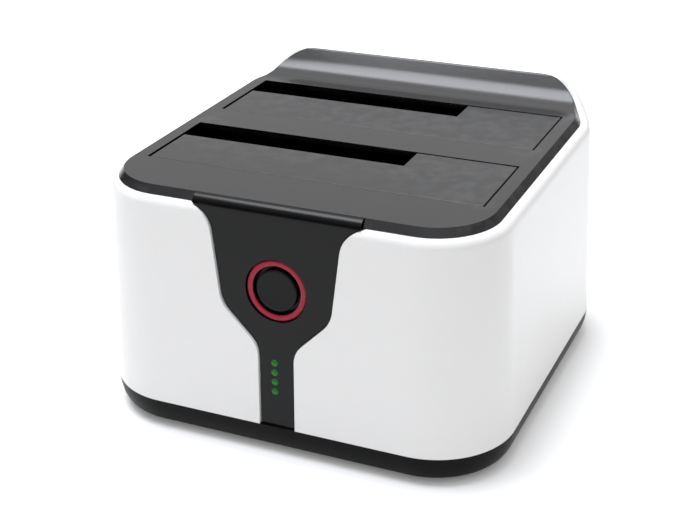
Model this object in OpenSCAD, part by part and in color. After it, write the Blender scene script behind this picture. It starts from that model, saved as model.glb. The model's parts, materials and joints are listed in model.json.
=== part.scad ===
// Two-bay hard drive docking station, in millimetres.
// Origin: middle of the footprint, on the floor. The front faces -Y and up is +Z.
// The bays set the plan: the housing grows round them by the margins below.

/* [Drive bays] */
// Width of a bay: a 3.5 inch drive is 101.6 wide
bay_w = 104; // [103:0.1:108]
// Depth of a bay from front to back, with room for the hanging door
bay_d = 31.8; // [31.4:0.1:36]
// Distance between the middles of the two bays
bay_pitch = 45.8; // [43:0.1:54]
// Width of the always open mouth: a 2.5 inch drive is 69.85 wide
mouth_w = 72.9; // [71:0.1:80]
// Depth of the always open mouth
mouth_d = 11.5; // [10:0.1:13]
// Thickness of the walls and floors of the drive wells
well_wall = 1.6; // [1.2:0.1:2]
// Drop from the flat of the lid to the top of the drive wells
well_drop = 6; // [5.6:0.1:9]

/* [Outer shell] */
// From the side of a bay to the lower edge of the shell
side_margin = 11.2; // [11.2:0.1:18]
// From the front bay to the lower front edge of the shell
front_margin = 24.7; // [24:0.1:34]
// From the rear bay to the lower back edge of the shell
rear_margin = 23.3; // [23:0.1:32]
// Corner radius of the shell at its lower edge
body_r = 24; // [20:0.5:28]
// Lean of the shell's walls in degrees
draft = 2.3; // [1.5:0.1:2.6]
// Height from the lower edge of the shell to the flat of the lid
shell_h = 66.9; // [62:0.1:80]
// Thickness of the shell's wall
wall = 2.4; // [2:0.1:2.6]
// Width of the rounded rim round the lid
rim_w = 3; // [2:0.1:3.1]
// Width of the hidden ledge that carries the lid
ledge_w = 2.4; // [1.6:0.1:2.4]
// Thickness of the hidden ledge
ledge_t = 2; // [1.4:0.1:2.4]

/* [Base] */
// Height of the base below the shell
base_h = 7.9; // [7.5:0.1:12]
// How far the rounded side of the base draws in
base_tuck = 3.6; // [2:0.1:4.5]
// Width of the base's upper edge, which carries the shell and the lip
base_wall = 4.4; // [4.2:0.1:6]
// Thickness of the base's floor
base_floor = 2; // [1.6:0.1:2.6]
// Height of the lip that centres the shell
lip_h = 3; // [2:0.1:4]
// Height of the rubber feet below the base
foot_h = 1.2; // [0.8:0.1:2.5]
// Radius of a rubber foot
foot_r = 6; // [5:0.1:7.5]
// Depth of the seat of a foot
foot_seat = 0.6; // [0.4:0.1:0.9]
// Distance of the case posts from the middle, across
post_x = 46; // [45.5:0.1:47]
// Distance of the case posts from the drive wells
post_gap = 4.2; // [3.8:0.1:5]
// Radius of a case post
post_r = 3.4; // [3:0.1:3.6]

/* [Lid] */
// Thickness of the lid and height of its sloping edge
lid_t = 2.3; // [2:0.1:2.6]
// Outward slope of the lid's edge
flare = 1.6; // [0.8:0.1:2]
// How far the lid sits forward of the middle
lid_shift = 1; // [0.6:0.1:1.2]
// Rise of the ridge at the back
ridge_h = 8; // [5:0.1:8.6]
// Flat between the rear bay and the foot of the ridge
ridge_gap = 3.9; // [3:0.1:4.4]
// Height of the ridge above the rim behind it
ridge_lip = 0.5; // [0.4:0.1:1]
// Radius of the hollow at the foot of the ridge
ridge_foot = 8; // [6:0.5:9]
// Radius of the ridge's rounded crest
ridge_crest = 0.8; // [0.6:0.1:1.2]

/* [Doors] */
// Thickness of a door
door_t = 2; // [1.6:0.1:2.2]
// Gap at the left end of a door
door_left_gap = 0.9; // [0.5:0.1:1.2]
// Gap at the right end of a door
door_right_gap = 0.5; // [0.4:0.1:1]
// Gap at the free edge of a door
door_back_gap = 0.7; // [0.5:0.1:1]
// Gap at the hinged edge of a door
door_front_gap = 0.3; // [0.3:0.05:0.5]
// Radius of a hinge pin
pin_r = 0.75; // [0.6:0.05:0.8]
// Hinge pin below the flat of the lid
pin_drop = 3; // [2.8:0.1:3.2]
// Hinge pin behind the front edge of the bay
pin_back = 2.3; // [2.2:0.1:2.4]
// Radius of a door's hinge barrel
barrel_r = 1.9; // [1.7:0.05:1.9]
// Reach of a door's stop under the lid
stop_reach = 1; // [0.8:0.1:1.2]
// Width of a door's stop
stop_w = 6; // [4:0.5:8]
// Radius of the wire of a door spring
wire_r = 0.25; // [0.2:0.01:0.27]
// Turns of a door spring
spring_turns = 4; // [3:1:5]
// Distance from one turn of a door spring to the next
spring_pitch = 1.05; // [1:0.05:1.2]
// Length of the legs of a door spring
spring_leg = 7; // [5:0.5:8]

/* [Front panel] */
// Half width of the stem
stem_half = 5.3; // [4.6:0.1:6]
// Height of the neck between the stem and the bowl's round corners
neck_h = 19; // [18:0.1:20.5]
// Radius between stem and bowl
stem_fillet = 8; // [6:0.1:8.4]
// Half distance between the centres of the bowl's round corners
bowl_half = 7.6; // [7:0.1:8.4]
// Radius of the bowl's round corners
bowl_r = 9.5; // [8.8:0.1:9.8]
// Bowl's round corners below the middle of the button
bowl_drop = 1.7; // [1:0.1:2.4]
// Radius of the flare at the top of the panel
flare_r = 9; // [7.5:0.1:9.4]
// Half distance between the centres of the flares
flare_half = 28.1; // [27.2:0.1:29]
// Half width of the notch in the lid's edge
notch_half = 25.2; // [24.2:0.1:26]
// Depth of the panel behind the shell's surface
panel_recess = 0.8; // [0.4:0.1:1]
// Thickness of the panel
panel_t = 2; // [1.8:0.1:2.2]
// Radius of the curl that meets the lid
curl_r = 3; // [2.6:0.1:3.4]
// Overlap of the panel's flange behind the shell
flange_w = 2; // [1.2:0.1:2.4]
// Thickness of the panel's flange
flange_t = 1.4; // [1:0.1:1.6]

/* [Button and lights] */
// Height of the button above the shell's lower edge
button_z = 42.3; // [41.5:0.1:43.5]
// Radius of the button's cap
cap_r = 6.2; // [5.4:0.1:6.4]
// Radius inside the red ring
ring_in = 7.3; // [7.2:0.1:7.6]
// Radius outside the red ring
ring_out = 9.1; // [8.6:0.1:9.4]
// Travel of the button
button_travel = 1.2; // [0.8:0.1:1.4]
// Number of lights
led_count = 4; // [2:1:4]
// Distance from one light to the next
led_pitch = 3; // [2.8:0.1:3.2]
// Height of the top light above the shell's lower edge
led_top = 20.1; // [19.4:0.1:20.6]
// Radius of a light
led_r = 1.1; // [0.9:0.05:1.15]
// Offset of the row of lights from the middle
led_x = -0.8; // [-1.2:0.1:0]

/* [Boards and connectors] */
// Underside of the main board above the shell's lower edge
board_rise = 0.9; // [0.6:0.1:1.6]
// Thickness of the main board
board_t = 1.6; // [1.2:0.1:1.8]
// Width of the main board
board_w = 82; // [80:0.5:83]
// Middle of the drive connectors left of the middle of the bays
conn_left = 18; // [16:0.1:19]
// Length of a drive connector
conn_w = 43; // [42:0.1:44]
// Thickness of a drive connector
conn_d = 6.4; // [6:0.1:7]
// Height of a drive connector
conn_h = 11; // [10.5:0.1:13]
// Height of a drive connector above the floor of its well
conn_proud = 4.5; // [3.5:0.1:4.8]
// Thickness of the front board
front_board_t = 1.2; // [1:0.1:1.6]
// Depth of the front board behind the shell's surface
front_board_y = 13; // [12.8:0.1:13.2]
// Radius of a capacitor
can_r = 3.6; // [3:0.1:3.8]
// Height of a capacitor
can_h = 11.5; // [8:0.1:13]
// Distance from one capacitor to the next
can_pitch = 8.4; // [8:0.1:9]
// Width of the bridge chip
chip_w = 12; // [9:0.5:14]
// Width of an inductor
coil_w = 7; // [5:0.1:8]
// Height of an inductor
coil_h = 4; // [3:0.1:4.4]
// Length of the crystal
crystal_w = 10.6; // [10:0.1:12]

/* [Ports] */
// Half width of the window for the ports
port_half = 33; // [32:0.5:35]
// Height of the window for the ports
port_h = 17.5; // [17:0.1:18.5]
// Lower edge of the window above the shell's lower edge
port_z = 1.6; // [1.4:0.1:2]
// Thickness of the port plate
plate_t = 2; // [1.6:0.1:2.2]
// Data port left of the middle, seen from the front
usb_x = -6; // [-7:0.5:-4]
// Power inlet left of the middle, seen from the front
jack_x = -24; // [-25:0.5:-22]
// Power switch right of the middle, seen from the front
rocker_x = 22; // [18:0.5:24]
// Angle of the power switch to each side of level, in degrees
rocker_tilt = 7; // [5:0.5:8]

/* [Screws] */
// Radius of a case screw
screw_r = 1.4; // [1.2:0.05:1.5]
// Length of a case screw
screw_len = 12; // [9:0.5:13]
// Radius of a small screw
small_screw_r = 1.1; // [0.9:0.05:1.2]
// Length of a lid screw
lid_screw_len = 8; // [6:0.5:8.5]

/* [Fits] */
// Gap between mouldings that sit one inside another
seam = 0.25; // [0.2:0.05:0.3]
// Gap between a pin and the hole that it is held in
pin_fit = 0.02; // [0.01:0.01:0.04]
// Gap between a pin and the hole that turns on it
turn_fit = 0.06; // [0.04:0.01:0.1]
// Gap between a sliding piece and its guide
slide_fit = 0.2; // [0.15:0.05:0.3]
// Gap under the lid's edge
seat_gap = 0.08; // [0.05:0.01:0.1]

/* [Hidden] */
$fn = 64;
far = 200;
corner_steps = 14;
corner_count = corner_steps + 1;
perimeter = 4 * corner_count;
slope = tan(draft);

body_w = bay_w + 2 * side_margin;
body_d = front_margin + bay_pitch + bay_d + rear_margin;
half_w = body_w / 2;
half_d = body_d / 2;

base_z = foot_h + base_h;
lid_z = base_z + shell_h;
rim_z = lid_z - lid_t;
floor_z = foot_h + base_floor;

bay_front = -half_d + front_margin;
bay_fronts = [bay_front, bay_front + bay_pitch];
bay_back = bay_front + bay_pitch + bay_d;

// The lid's edge keeps the rim's width from the shell, and its ridge ends at that edge.
rim_inset = (rim_z - base_z) * slope + rim_w;
lid_half_w = half_w - rim_inset;
lid_front = -half_d + rim_inset - lid_shift;
lid_back = half_d - rim_inset - lid_shift;
lid_r = body_r - rim_inset;
rim_rise = ridge_h + lid_t - ridge_lip;
ridge_start = bay_back + ridge_gap;
ridge_run = lid_back - flare * ridge_lip / lid_t - ridge_start;
ledge_inset = (rim_z + rim_rise - rim_w - base_z) * slope + rim_w + ledge_w;

// The port plate lies against the inside of the shell's back wall.
plate_y = wall + 0.15;

// Main board, drive connectors and wells stack up from the base.
board_z = base_z + board_rise;
board_top = board_z + board_t;
board_front = -half_d + front_board_y + front_board_t + 1.4;
board_back = half_d - plate_y - plate_t - 1.8;
conn_ys = [for (y = bay_fronts) y + bay_d - mouth_d / 2];
conn_top = board_top + conn_h;
well_top = lid_z - well_drop;
well_floor = conn_top - conn_proud;
well_half_w = bay_w / 2 + well_wall;
post_ys = [bay_front - well_wall - post_gap, bay_back + well_wall + post_gap];
post_foot = floor_z + 4;
standoff_x = board_w / 2 - 5;
standoffs = [for (x = [-1, 1]) each [[standoff_x * x, board_front + 9], [standoff_x * x, board_back - 14]]];
tab_z = well_top - 8;
tab_t = 2;
tab_x = 30;
tab_reach = 4.2;

// Doors: the stops sit under the lid on each side of the middle of the door's wide end.
mouth_end = -bay_w / 2 + mouth_w;
door_left = -bay_w / 2 + door_left_gap;
door_right = bay_w / 2 - door_right_gap;
stop_xs = [for (s = [-1, 1]) (mouth_end + door_right) / 2 + s * (door_right - mouth_end) / 4];
stop_t = 1.4;
stop_top = min(rim_z, lid_z - door_t) - 0.1;
stop_relief = 9;

// Hinges: the pins run from lug to lug through the door barrels.
lug_in = bay_w / 2 + 0.3;
lug_out = half_w - ledge_inset - 0.1;
pin_half = lug_out - 0.2;
pin_z = lid_z - pin_drop;
pin_ys = [for (y = bay_fronts) y + pin_back];
coil_r = pin_r + 0.3 + wire_r;
coil_half = spring_turns * spring_pitch / 2 + spring_pitch;
pocket_half = coil_half + 0.8;
pocket_r = coil_r + wire_r + 0.4;
spring_gap = spring_pitch - 2 * wire_r;
echo(spring_gap = spring_gap);

// Front panel heights are measured up the sloping wall from the shell's lower edge.
panel_back = panel_recess + panel_t;
flange_y = max(panel_back, wall + seam) - 0.2;
flange_back = flange_y + 0.2 + flange_t;
curl_z = lid_z - curl_r;
curl_y = -half_d + (curl_z - base_z) * slope + panel_recess + curl_r;
bowl_z = button_z - bowl_drop;
stem_top = bowl_z - neck_h;
flare_z = rim_z - base_z + 0.3 - flare_r;
ring_back = panel_back + 1.2;
ring_flange = ring_out + 1.5;
cap_front = panel_recess + 0.15;
cap_flange = ring_in - slide_fit;
switch_half = 4.2;
switch_front = front_board_y - 6.4;
plunger_half = 1.6;
leds = [for (i = [0 : led_count - 1]) led_top - i * led_pitch];
front_board_half = 15;
front_board_top = rim_z - base_z - 4.6;
front_screws = [[-12, front_board_top - 4], [12, front_board_top - 4], [0, leds[led_count - 1] - 3.9]];

// Ports.
plate_half = port_half + 3;
plate_bottom = 0.3;
plate_top = port_z + port_h + 2;
usb_w = 12;
usb_h = 11.2;
usb_back = half_d - plate_y - 0.45;
usb_front = usb_back - 16;
jack_w = 9;
jack_h = 11;
jack_z = board_top + 6.3;
jack_back = half_d - plate_y - 0.45;
jack_front = jack_back - 14.6;
rocker_w = 8;
rocker_half = 5;
rocker_reach = 5;
rocker_y = plate_y + 3.65;
rocker_mid = port_z + port_h / 2;

// Plan of the housing: one point of its perimeter, drawn in by an inset.
function corner_sign(k) = [
    [1, 1], [-1, 1], [-1, -1], [1, -1]
][floor(k / corner_count)];

function corner_angle(k) = 90 * floor(k / corner_count) + 90 * (k % corner_count) / corner_steps;

function perimeter_point(k, inset) = [
    corner_sign(k)[0] * (half_w - body_r) + (body_r - inset) * cos(corner_angle(k)),
    corner_sign(k)[1] * (half_d - body_r) + (body_r - inset) * sin(corner_angle(k))
];

// Rise of the ridge: a hollow at its foot, a straight slope and a rounded crest, level before and behind.
function ridge_turn(height) =
    let (both = ridge_foot + ridge_crest)
    asin(both / norm([ridge_run, both - height])) - atan2(both - height, ridge_run);

function rise(y, height) =
    let (turn = ridge_turn(height))
    let (t = min(max(y - ridge_start, 0), ridge_run))
    let (left = ridge_run - t)
    t < ridge_foot * sin(turn)
        ? ridge_foot - sqrt(ridge_foot * ridge_foot - t * t)
        : left < ridge_crest * sin(turn)
            ? height - ridge_crest + sqrt(ridge_crest * ridge_crest - left * left)
            : ridge_foot * (1 - cos(turn)) + (t - ridge_foot * sin(turn)) * tan(turn);

function lid_height(y) = lid_z + rise(y, ridge_h);
function rim_height(y) = rim_z + rise(y, rim_rise);

function ridge_steps(height) =
    let (turn = ridge_turn(height))
    concat(
        [for (i = [0 : 10]) ridge_start + ridge_foot * sin(turn * i / 10)],
        [for (i = [5 : -1 : 0]) ridge_start + ridge_run - ridge_crest * sin(turn * i / 5)]
    );

function ridge_profile(from, to, height) = concat(
    [[from, height ? lid_height(from) : rim_height(from)]],
    [for (y = ridge_steps(height ? ridge_h : rim_rise)) [y, height ? lid_height(y) : rim_height(y)]],
    [[to, height ? lid_height(to) : rim_height(to)]]
);

function reversed(list) = [for (i = [len(list) - 1 : -1 : 0]) list[i]];

function arc(centre, r, from, to, steps = 10) = [
    for (i = [0 : steps])
        let (a = from + (to - from) * i / steps)
        [centre[0] + r * cos(a), centre[1] + r * sin(a)]
];

// Funnel outline of the front panel, grown by a gap all round. Straight lines join its arcs as tangents.
function funnel_side(grow, end = 90) =
    let (stem_centre = [stem_half + stem_fillet, stem_top])
    let (bowl_centre = [bowl_half, bowl_z])
    let (flare_centre = [flare_half, flare_z])
    let (down = bowl_centre - stem_centre)
    let (up = flare_centre - bowl_centre)
    let (lower = atan2(down[1], down[0]) - asin((stem_fillet + bowl_r) / norm(down)))
    let (upper = atan2(up[1], up[0]) + asin((bowl_r + flare_r) / norm(up)))
    concat(
        [[stem_half + grow, -1]],
        arc(stem_centre, stem_fillet - grow, 180, lower + 90),
        arc(bowl_centre, bowl_r + grow, lower - 90, upper - 90),
        arc(flare_centre, flare_r - grow, upper + 90, end)
    );

function mirrored(side) = concat(side, [for (p = reversed(side)) [-p[0], p[1]]]);

// Round wire bent along a path that runs mostly across X, for the door springs.
function unit(v) = v / norm(v);

function path_normal(path, i) =
    let (last = len(path) - 1)
    unit(path[min(i + 1, last)] - path[max(i - 1, 0)]);

function wire_ring(path, i, r, sides) =
    let (t = path_normal(path, i))
    let (u = unit([1, 0, 0] - t[0] * t))
    let (v = cross(t, u))
    [for (k = [0 : sides - 1]) path[i] + r * (cos(360 * k / sides) * u + sin(360 * k / sides) * v)];

module loft(rings) {
    n = len(rings[0]);
    m = len(rings);
    polyhedron(
        points = [for (ring = rings) each ring],
        faces = concat(
            [[for (k = [0 : n - 1]) k]],
            [for (s = [0 : m - 2], k = [0 : n - 1])
                let (a = s * n + k, b = s * n + (k + 1) % n)
                each [[a, a + n, b + n], [a, b + n, b]]],
            [[for (k = [n - 1 : -1 : 0]) (m - 1) * n + k]]
        )
    );
}

module closed_loft(sections) {
    n = len(sections);
    m = len(sections[0]);
    polyhedron(
        points = [for (section = sections) each section],
        faces = [for (k = [0 : n - 1], s = [0 : m - 1])
            let (a = k * m + s, b = (k + 1) % n * m + s)
            let (c = (k + 1) % n * m + (s + 1) % m, d = k * m + (s + 1) % m)
            each [[a, d, c], [a, c, b]]]
    );
}

module wire(path, r, sides = 8) {
    loft([for (i = [0 : len(path) - 1]) wire_ring(path, i, r, sides)]);
}

module round_rect(w, h, r) {
    square([w - 2 * r, h], center = true);
    square([w, h - 2 * r], center = true);
    for (x = [-1, 1], y = [-1, 1]) {
        translate([x * (w / 2 - r), y * (h / 2 - r)]) circle(r);
    }
}

module housing_plan(inset) {
    round_rect(body_w - 2 * inset, body_d - 2 * inset, body_r - inset);
}

module block(size, at) {
    translate([at[0] - size[0] / 2, at[1] - size[1] / 2, at[2]]) cube(size);
}

module along_x(length) {
    rotate([90, 0, 90]) linear_extrude(length, center = true) children();
}

module along_y(from, to) {
    translate([0, to, 0]) rotate([90, 0, 0]) linear_extrude(to - from) children();
}

module rod_y(x, z, r, from, to) {
    translate([x, from, z]) rotate([-90, 0, 0]) cylinder(h = to - from, r = r);
}

module rod_x(y, z, r, from, to) {
    translate([from, y, z]) rotate([0, 90, 0]) cylinder(h = to - from, r = r);
}

module on_front() {
    translate([0, -half_d, base_z]) rotate([-draft, 0, 0]) children();
}

module on_back() {
    rotate([0, 0, 180]) on_front() children();
}

module screw(r, length, head_r, head_h) {
    cylinder(h = length, r = r);
    difference() {
        translate([0, 0, -head_h]) cylinder(h = head_h, r = head_r);
        for (a = [0, 90]) {
            rotate([0, 0, a]) block([head_r * 1.3, head_r * 0.28, head_h], [0, 0, -head_h * 1.5]);
        }
    }
}

module at_posts() {
    for (x = [-post_x, post_x], y = post_ys) {
        translate([x, y, 0]) children();
    }
}

module at_tabs() {
    for (x = [-tab_x, tab_x]) {
        translate([x, bay_front - well_wall, tab_z]) rotate([0, 0, 180]) children();
        translate([x, bay_back + well_wall, tab_z]) children();
    }
}

module funnel_prism(grow, from, to) {
    translate([0, 0, base_z]) along_y(from, to) polygon(mirrored(concat(
        funnel_side(grow),
        [[flare_half, far]]
    )));
}

// Shell: one section per perimeter point, from the lower edge over the rim and back down the inside.
function shell_section(k) =
    let (rim = rim_height(perimeter_point(k, rim_inset)[1]))
    let (lean = (rim - rim_w - base_z) * slope)
    let (ledge = [for (i = [1 : 4]) lean + rim_w + ledge_w * i / 4])
    let (ledge_end = rim_height(perimeter_point(k, ledge[3])[1]))
    let (inner = rim_height(perimeter_point(k, lean + wall)[1]) - ledge_t)
    let (profile = concat(
        [[0, base_z]],
        [for (a = [0 : 15 : 90]) [lean + rim_w * (1 - cos(a)), rim - rim_w + rim_w * sin(a)]],
        [for (d = ledge) [d, rim_height(perimeter_point(k, d)[1])]],
        [[ledge[3], ledge_end - ledge_t], [lean + wall, inner], [wall, base_z]]
    ))
    [for (p = profile) concat(perimeter_point(k, p[0]), p[1])];

module outer_shell() color("white") difference() {
    closed_loft([for (k = [0 : perimeter - 1]) shell_section(k)]);
    funnel_prism(seam, -half_d - 1, -half_d + ledge_inset + 1);
    on_back() along_y(-1, wall + 1) translate([0, rocker_mid]) round_rect(2 * port_half, port_h, 2);
}

module base_tray() color("dimgray") difference() {
    union() {
        difference() {
            loft([for (a = [90 : -10 : 0])
                [for (k = [0 : perimeter - 1])
                    concat(perimeter_point(k, base_tuck * (1 - cos(a))), base_z - base_h * sin(a))]]);
            translate([0, 0, floor_z]) linear_extrude(far) housing_plan(base_wall);
        }
        difference() {
            translate([0, 0, base_z - 1]) linear_extrude(lip_h + 1) difference() {
                housing_plan(wall + seam + lip_h * slope);
                housing_plan(base_wall);
            }
            block([2 * (stem_half + flange_w + 3), 30, far], [0, -half_d, base_z]);
            block([2 * plate_half + 3, 30, far], [0, half_d, base_z]);
        }
        at_posts() translate([0, 0, foot_h + foot_seat]) cylinder(h = post_foot - foot_h - foot_seat, r = 4.6);
        for (p = standoffs) {
            translate([p[0], p[1], floor_z - 1]) cylinder(h = board_z - floor_z + 1, r = 3);
        }
    }
    at_posts() {
        cylinder(h = foot_h + foot_seat, r = foot_r + 0.1);
        cylinder(h = foot_h + foot_seat + 2, r = 2.9);
        cylinder(h = far, r = screw_r + 0.2);
    }
    for (p = standoffs) {
        translate([p[0], p[1], floor_z + 0.4]) cylinder(h = far, r = small_screw_r + pin_fit);
    }
    for (y = [-3 : 3]) {
        translate([0, 7 * y, 0]) linear_extrude(far) round_rect(44, 2.4, 1);
    }
}

module rubber_feet() color("black") at_posts() {
    cylinder(h = foot_h + foot_seat, r = foot_r);
}

module base_screws() color("silver") at_posts() {
    translate([0, 0, foot_h + foot_seat + 2]) screw(screw_r, screw_len, 2.6, 1.8);
}

module well(front) {
    middle = front + bay_d / 2;
    difference() {
        block([2 * well_half_w, bay_d + 2 * well_wall, well_top - well_floor + well_wall],
            [0, middle, well_floor - well_wall]);
        block([bay_w, bay_d, far], [0, middle, well_floor]);
        block([conn_w + 2, conn_d + 2, far], [-conn_left, front + bay_d - mouth_d / 2, 0]);
        for (x = stop_xs) {
            block([stop_w + 2, 2 * well_wall + 2, far], [x, front + bay_d + well_wall, well_top - stop_relief]);
        }
    }
}

module drive_guide() color("slategray") difference() {
    union() {
        for (y = bay_fronts) {
            well(y);
        }
        for (x = [-1, 1]) {
            block([2, bay_pitch - bay_d, 30], [x * (well_half_w - 1), bay_front + (bay_d + bay_pitch) / 2, 30]);
        }
        at_posts() translate([0, 0, post_foot]) cylinder(h = tab_z - post_foot, r = post_r);
        for (x = [-post_x, post_x]) {
            block([2.4, post_gap + 1, tab_z - well_floor], [x, bay_front - well_wall - post_gap / 2, well_floor]);
            block([2.4, post_gap + 1, tab_z - well_floor], [x, bay_back + well_wall + post_gap / 2, well_floor]);
        }
        at_tabs() translate([-4, -0.5, 0]) cube([8, tab_reach + 4, tab_t]);
    }
    at_posts() cylinder(h = post_foot + screw_len, r = screw_r + pin_fit);
    at_tabs() translate([0, tab_reach, -1]) cylinder(h = tab_t + 2, r = small_screw_r + 0.2);
}

module lid_blank() {
    ring = function (inset, lift) [
        for (k = [0 : perimeter - 1])
            let (y = perimeter_point(k, rim_inset)[1] - lid_shift)
            let (edge = lid_height(y) - rim_height(y))
            let (p = perimeter_point(k, rim_inset + inset * edge * flare / lid_t))
            [p[0], p[1] - lid_shift, rim_height(y) + lift * edge]
    ];
    flat = function (inset, z) [for (p = ring(inset, 0)) [p[0], p[1], z]];
    loft([flat(0, base_z), ring(0, 0.1), ring(1.2, 1.3), flat(1.2, far)]);
}

module top_cover() color("gray") difference() {
    union() {
        difference() {
            intersection() {
                lid_blank();
                along_x(far) polygon(concat(
                    ridge_profile(-far, far, true),
                    [for (p = reversed(ridge_profile(-far, far, true))) [p[0], p[1] - lid_t]]
                ));
            }
            difference() {
                translate([0, 0, seat_gap]) along_x(far) polygon(concat(
                    ridge_profile(-far, far, false),
                    [[far, 0], [-far, 0]]
                ));
                linear_extrude(far) housing_plan(ledge_inset + seam);
            }
        }
        for (x = [-1, 1], y = pin_ys) {
            block([lug_out - lug_in, 2 * barrel_r, lid_z - 1 - pin_z + barrel_r],
                [x * (lug_out + lug_in) / 2, y, pin_z - barrel_r]);
        }
        at_tabs() translate([0, tab_reach, tab_t]) cylinder(h = lid_z - 0.6 - tab_z - tab_t, r = 2.8);
    }
    for (y = bay_fronts) {
        block([bay_w, bay_d, far], [0, y + bay_d / 2, rim_z - 1]);
    }
    for (y = pin_ys) {
        rod_x(y, pin_z, pin_r + pin_fit, -pin_half - 0.1, pin_half + 0.1);
    }
    at_tabs() translate([0, tab_reach, 0]) cylinder(h = lid_screw_len + 1, r = small_screw_r + pin_fit);
    translate([-notch_half - seam, lid_front - 10, 0]) cube([2 * (notch_half + seam), curl_y + 0.1 - lid_front + 10, far]);
}

module lid_screws() color("silver") at_tabs() {
    translate([0, tab_reach, 0]) screw(small_screw_r, lid_screw_len, 2.2, 1.4);
}

// Door at its closed place: an L-shaped plate on two barrels, with a pocket for the spring between them.
module door(front) {
    axis = front + pin_back;
    back = front + bay_d - door_back_gap;
    under = lid_z - door_t;
    rib = bay_d - mouth_d - pin_back - 3;
    difference() {
        union() {
            translate([door_left, front + door_front_gap, under]) {
                cube([door_right - door_left, bay_d - mouth_d - door_front_gap, door_t]);
            }
            translate([mouth_end, front + door_front_gap, under]) {
                cube([door_right - mouth_end, bay_d - door_back_gap - door_front_gap, door_t]);
            }
            rod_x(axis, pin_z, barrel_r, door_left + 0.6, door_right - 0.6);
            for (x = [-34, -17, 17, 34]) {
                block([1.2, rib, 2], [x, front + (bay_d - mouth_d + pin_back) / 2, under - 1.2]);
            }
            for (x = stop_xs) {
                block([stop_w, 4, under + 0.5 - stop_top + stop_t], [x, back - 2, stop_top - stop_t]);
                block([stop_w, 3, stop_t], [x, front + bay_d + stop_reach - 1.5, stop_top - stop_t]);
            }
        }
        rod_x(axis, pin_z, pin_r + turn_fit, -far, far);
        rod_x(axis, pin_z, pocket_r, -pocket_half, pocket_half);
        block([2 * pocket_half, 2 * pocket_r, pocket_r], [0, axis, pin_z - pocket_r]);
        block([2 * wire_r + 0.5, spring_leg + 1, far], [coil_half - spring_pitch, axis + spring_leg / 2,
            pin_z + coil_r + wire_r + 0.1 - far]);
    }
}

// Door spring: a leg up the front wall of the well, the turns round the pin, and a leg under the door.
function spring_path(axis) =
    let (sweep = 90 + 360 * spring_turns)
    let (steps = 10 * spring_turns + 3)
    let (start = -coil_half + spring_pitch)
    concat(
        [[start, axis - coil_r, pin_z - spring_leg]],
        [for (i = [0 : steps])
            let (a = 180 - sweep * i / steps)
            [start + spring_turns * spring_pitch * i / steps, axis + coil_r * cos(a), pin_z + coil_r * sin(a)]],
        [[start + spring_turns * spring_pitch, axis + spring_leg, pin_z + coil_r]]
    );

module front_door() color("darkgray") door(bay_fronts[0]);

module rear_door() color("darkgray") door(bay_fronts[1]);

module door_pin(y) {
    rod_x(y, pin_z, pin_r, -pin_half, pin_half);
}

module front_door_pin() color("silver") door_pin(pin_ys[0]);

module rear_door_pin() color("silver") door_pin(pin_ys[1]);

module front_door_spring() color("silver") wire(spring_path(pin_ys[0]), wire_r);

module rear_door_spring() color("silver") wire(spring_path(pin_ys[1]), wire_r);

// Front panel: its side view, a sloping plate with a curl on top, cut to the funnel outline.
module panel_side() {
    lean = (curl_z - base_z) * slope;
    face = -half_d + panel_recess;
    polygon([
        [face, base_z], [face + lean, curl_z], [face + lean + panel_t, curl_z], [face + panel_t, base_z]
    ]);
    translate([curl_y, curl_z]) intersection() {
        difference() {
            circle(curl_r);
            circle(curl_r - panel_t);
        }
        translate([-curl_r, 0]) square(curl_r);
    }
}

module panel_outline() {
    end = acos((notch_half - flare_half) / flare_r);
    along_y(-far, far) polygon(mirrored(concat(funnel_side(0, end), [[notch_half, far]])));
}

module front_panel() color("dimgray") difference() {
    union() {
        intersection() {
            along_x(far) panel_side();
            translate([0, 0, base_z]) panel_outline();
        }
        on_front() intersection() {
            along_y(flange_y, flange_back) polygon(mirrored(funnel_side(flange_w)));
            block([far, far, button_z + 11], [0, 0, 1]);
        }
        on_front() for (p = front_screws) {
            rod_y(p[0], p[1], 2.2, panel_back - 0.5, front_board_y);
        }
    }
    on_front() {
        rod_y(0, button_z, ring_out + slide_fit, -5, panel_back);
        rod_y(0, button_z, ring_flange + slide_fit, panel_back, flange_back + 1);
        for (z = leds) {
            rod_y(led_x, z, led_r + pin_fit, -5, flange_back + 1);
        }
        for (p = front_screws) {
            rod_y(p[0], p[1], small_screw_r + pin_fit, front_board_y - 7, front_board_y + 1);
        }
    }
}

module turned_front(z) {
    on_front() translate([0, 0, z]) rotate([-90, 0, 0]) rotate_extrude() children();
}

module button_ring() color("firebrick") turned_front(button_z) polygon([
    [ring_in, panel_recess + 0.7], [ring_in + 0.5, panel_recess + 0.2], [ring_out - 0.4, panel_recess + 0.2],
    [ring_out, panel_recess + 0.6], [ring_out, panel_back], [ring_flange, panel_back],
    [ring_flange, ring_back], [ring_in, ring_back]
]);

module button_cap() color("dimgray") difference() {
    turned_front(button_z) polygon([
        [0, cap_front + 0.25], [cap_r - 1.6, cap_front + 0.2], [cap_r - 0.5, cap_front], [cap_r, cap_front + 0.4],
        [cap_r, cap_front + 1.6], [cap_flange, cap_front + 1.6], [cap_flange, ring_back - 0.2],
        [3.6, ring_back - 0.2], [3.6, switch_front - button_travel - 0.3], [0, switch_front - button_travel - 0.3]
    ]);
    on_front() translate([-plunger_half, cap_front + 1.8, button_z - plunger_half]) {
        cube([2 * plunger_half, far, 2 * plunger_half]);
    }
}

module switch_plunger() color("whitesmoke") on_front() {
    translate([-plunger_half, cap_front + 1.8, button_z - plunger_half]) {
        cube([2 * plunger_half, switch_front - cap_front, 2 * plunger_half]);
    }
}

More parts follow.
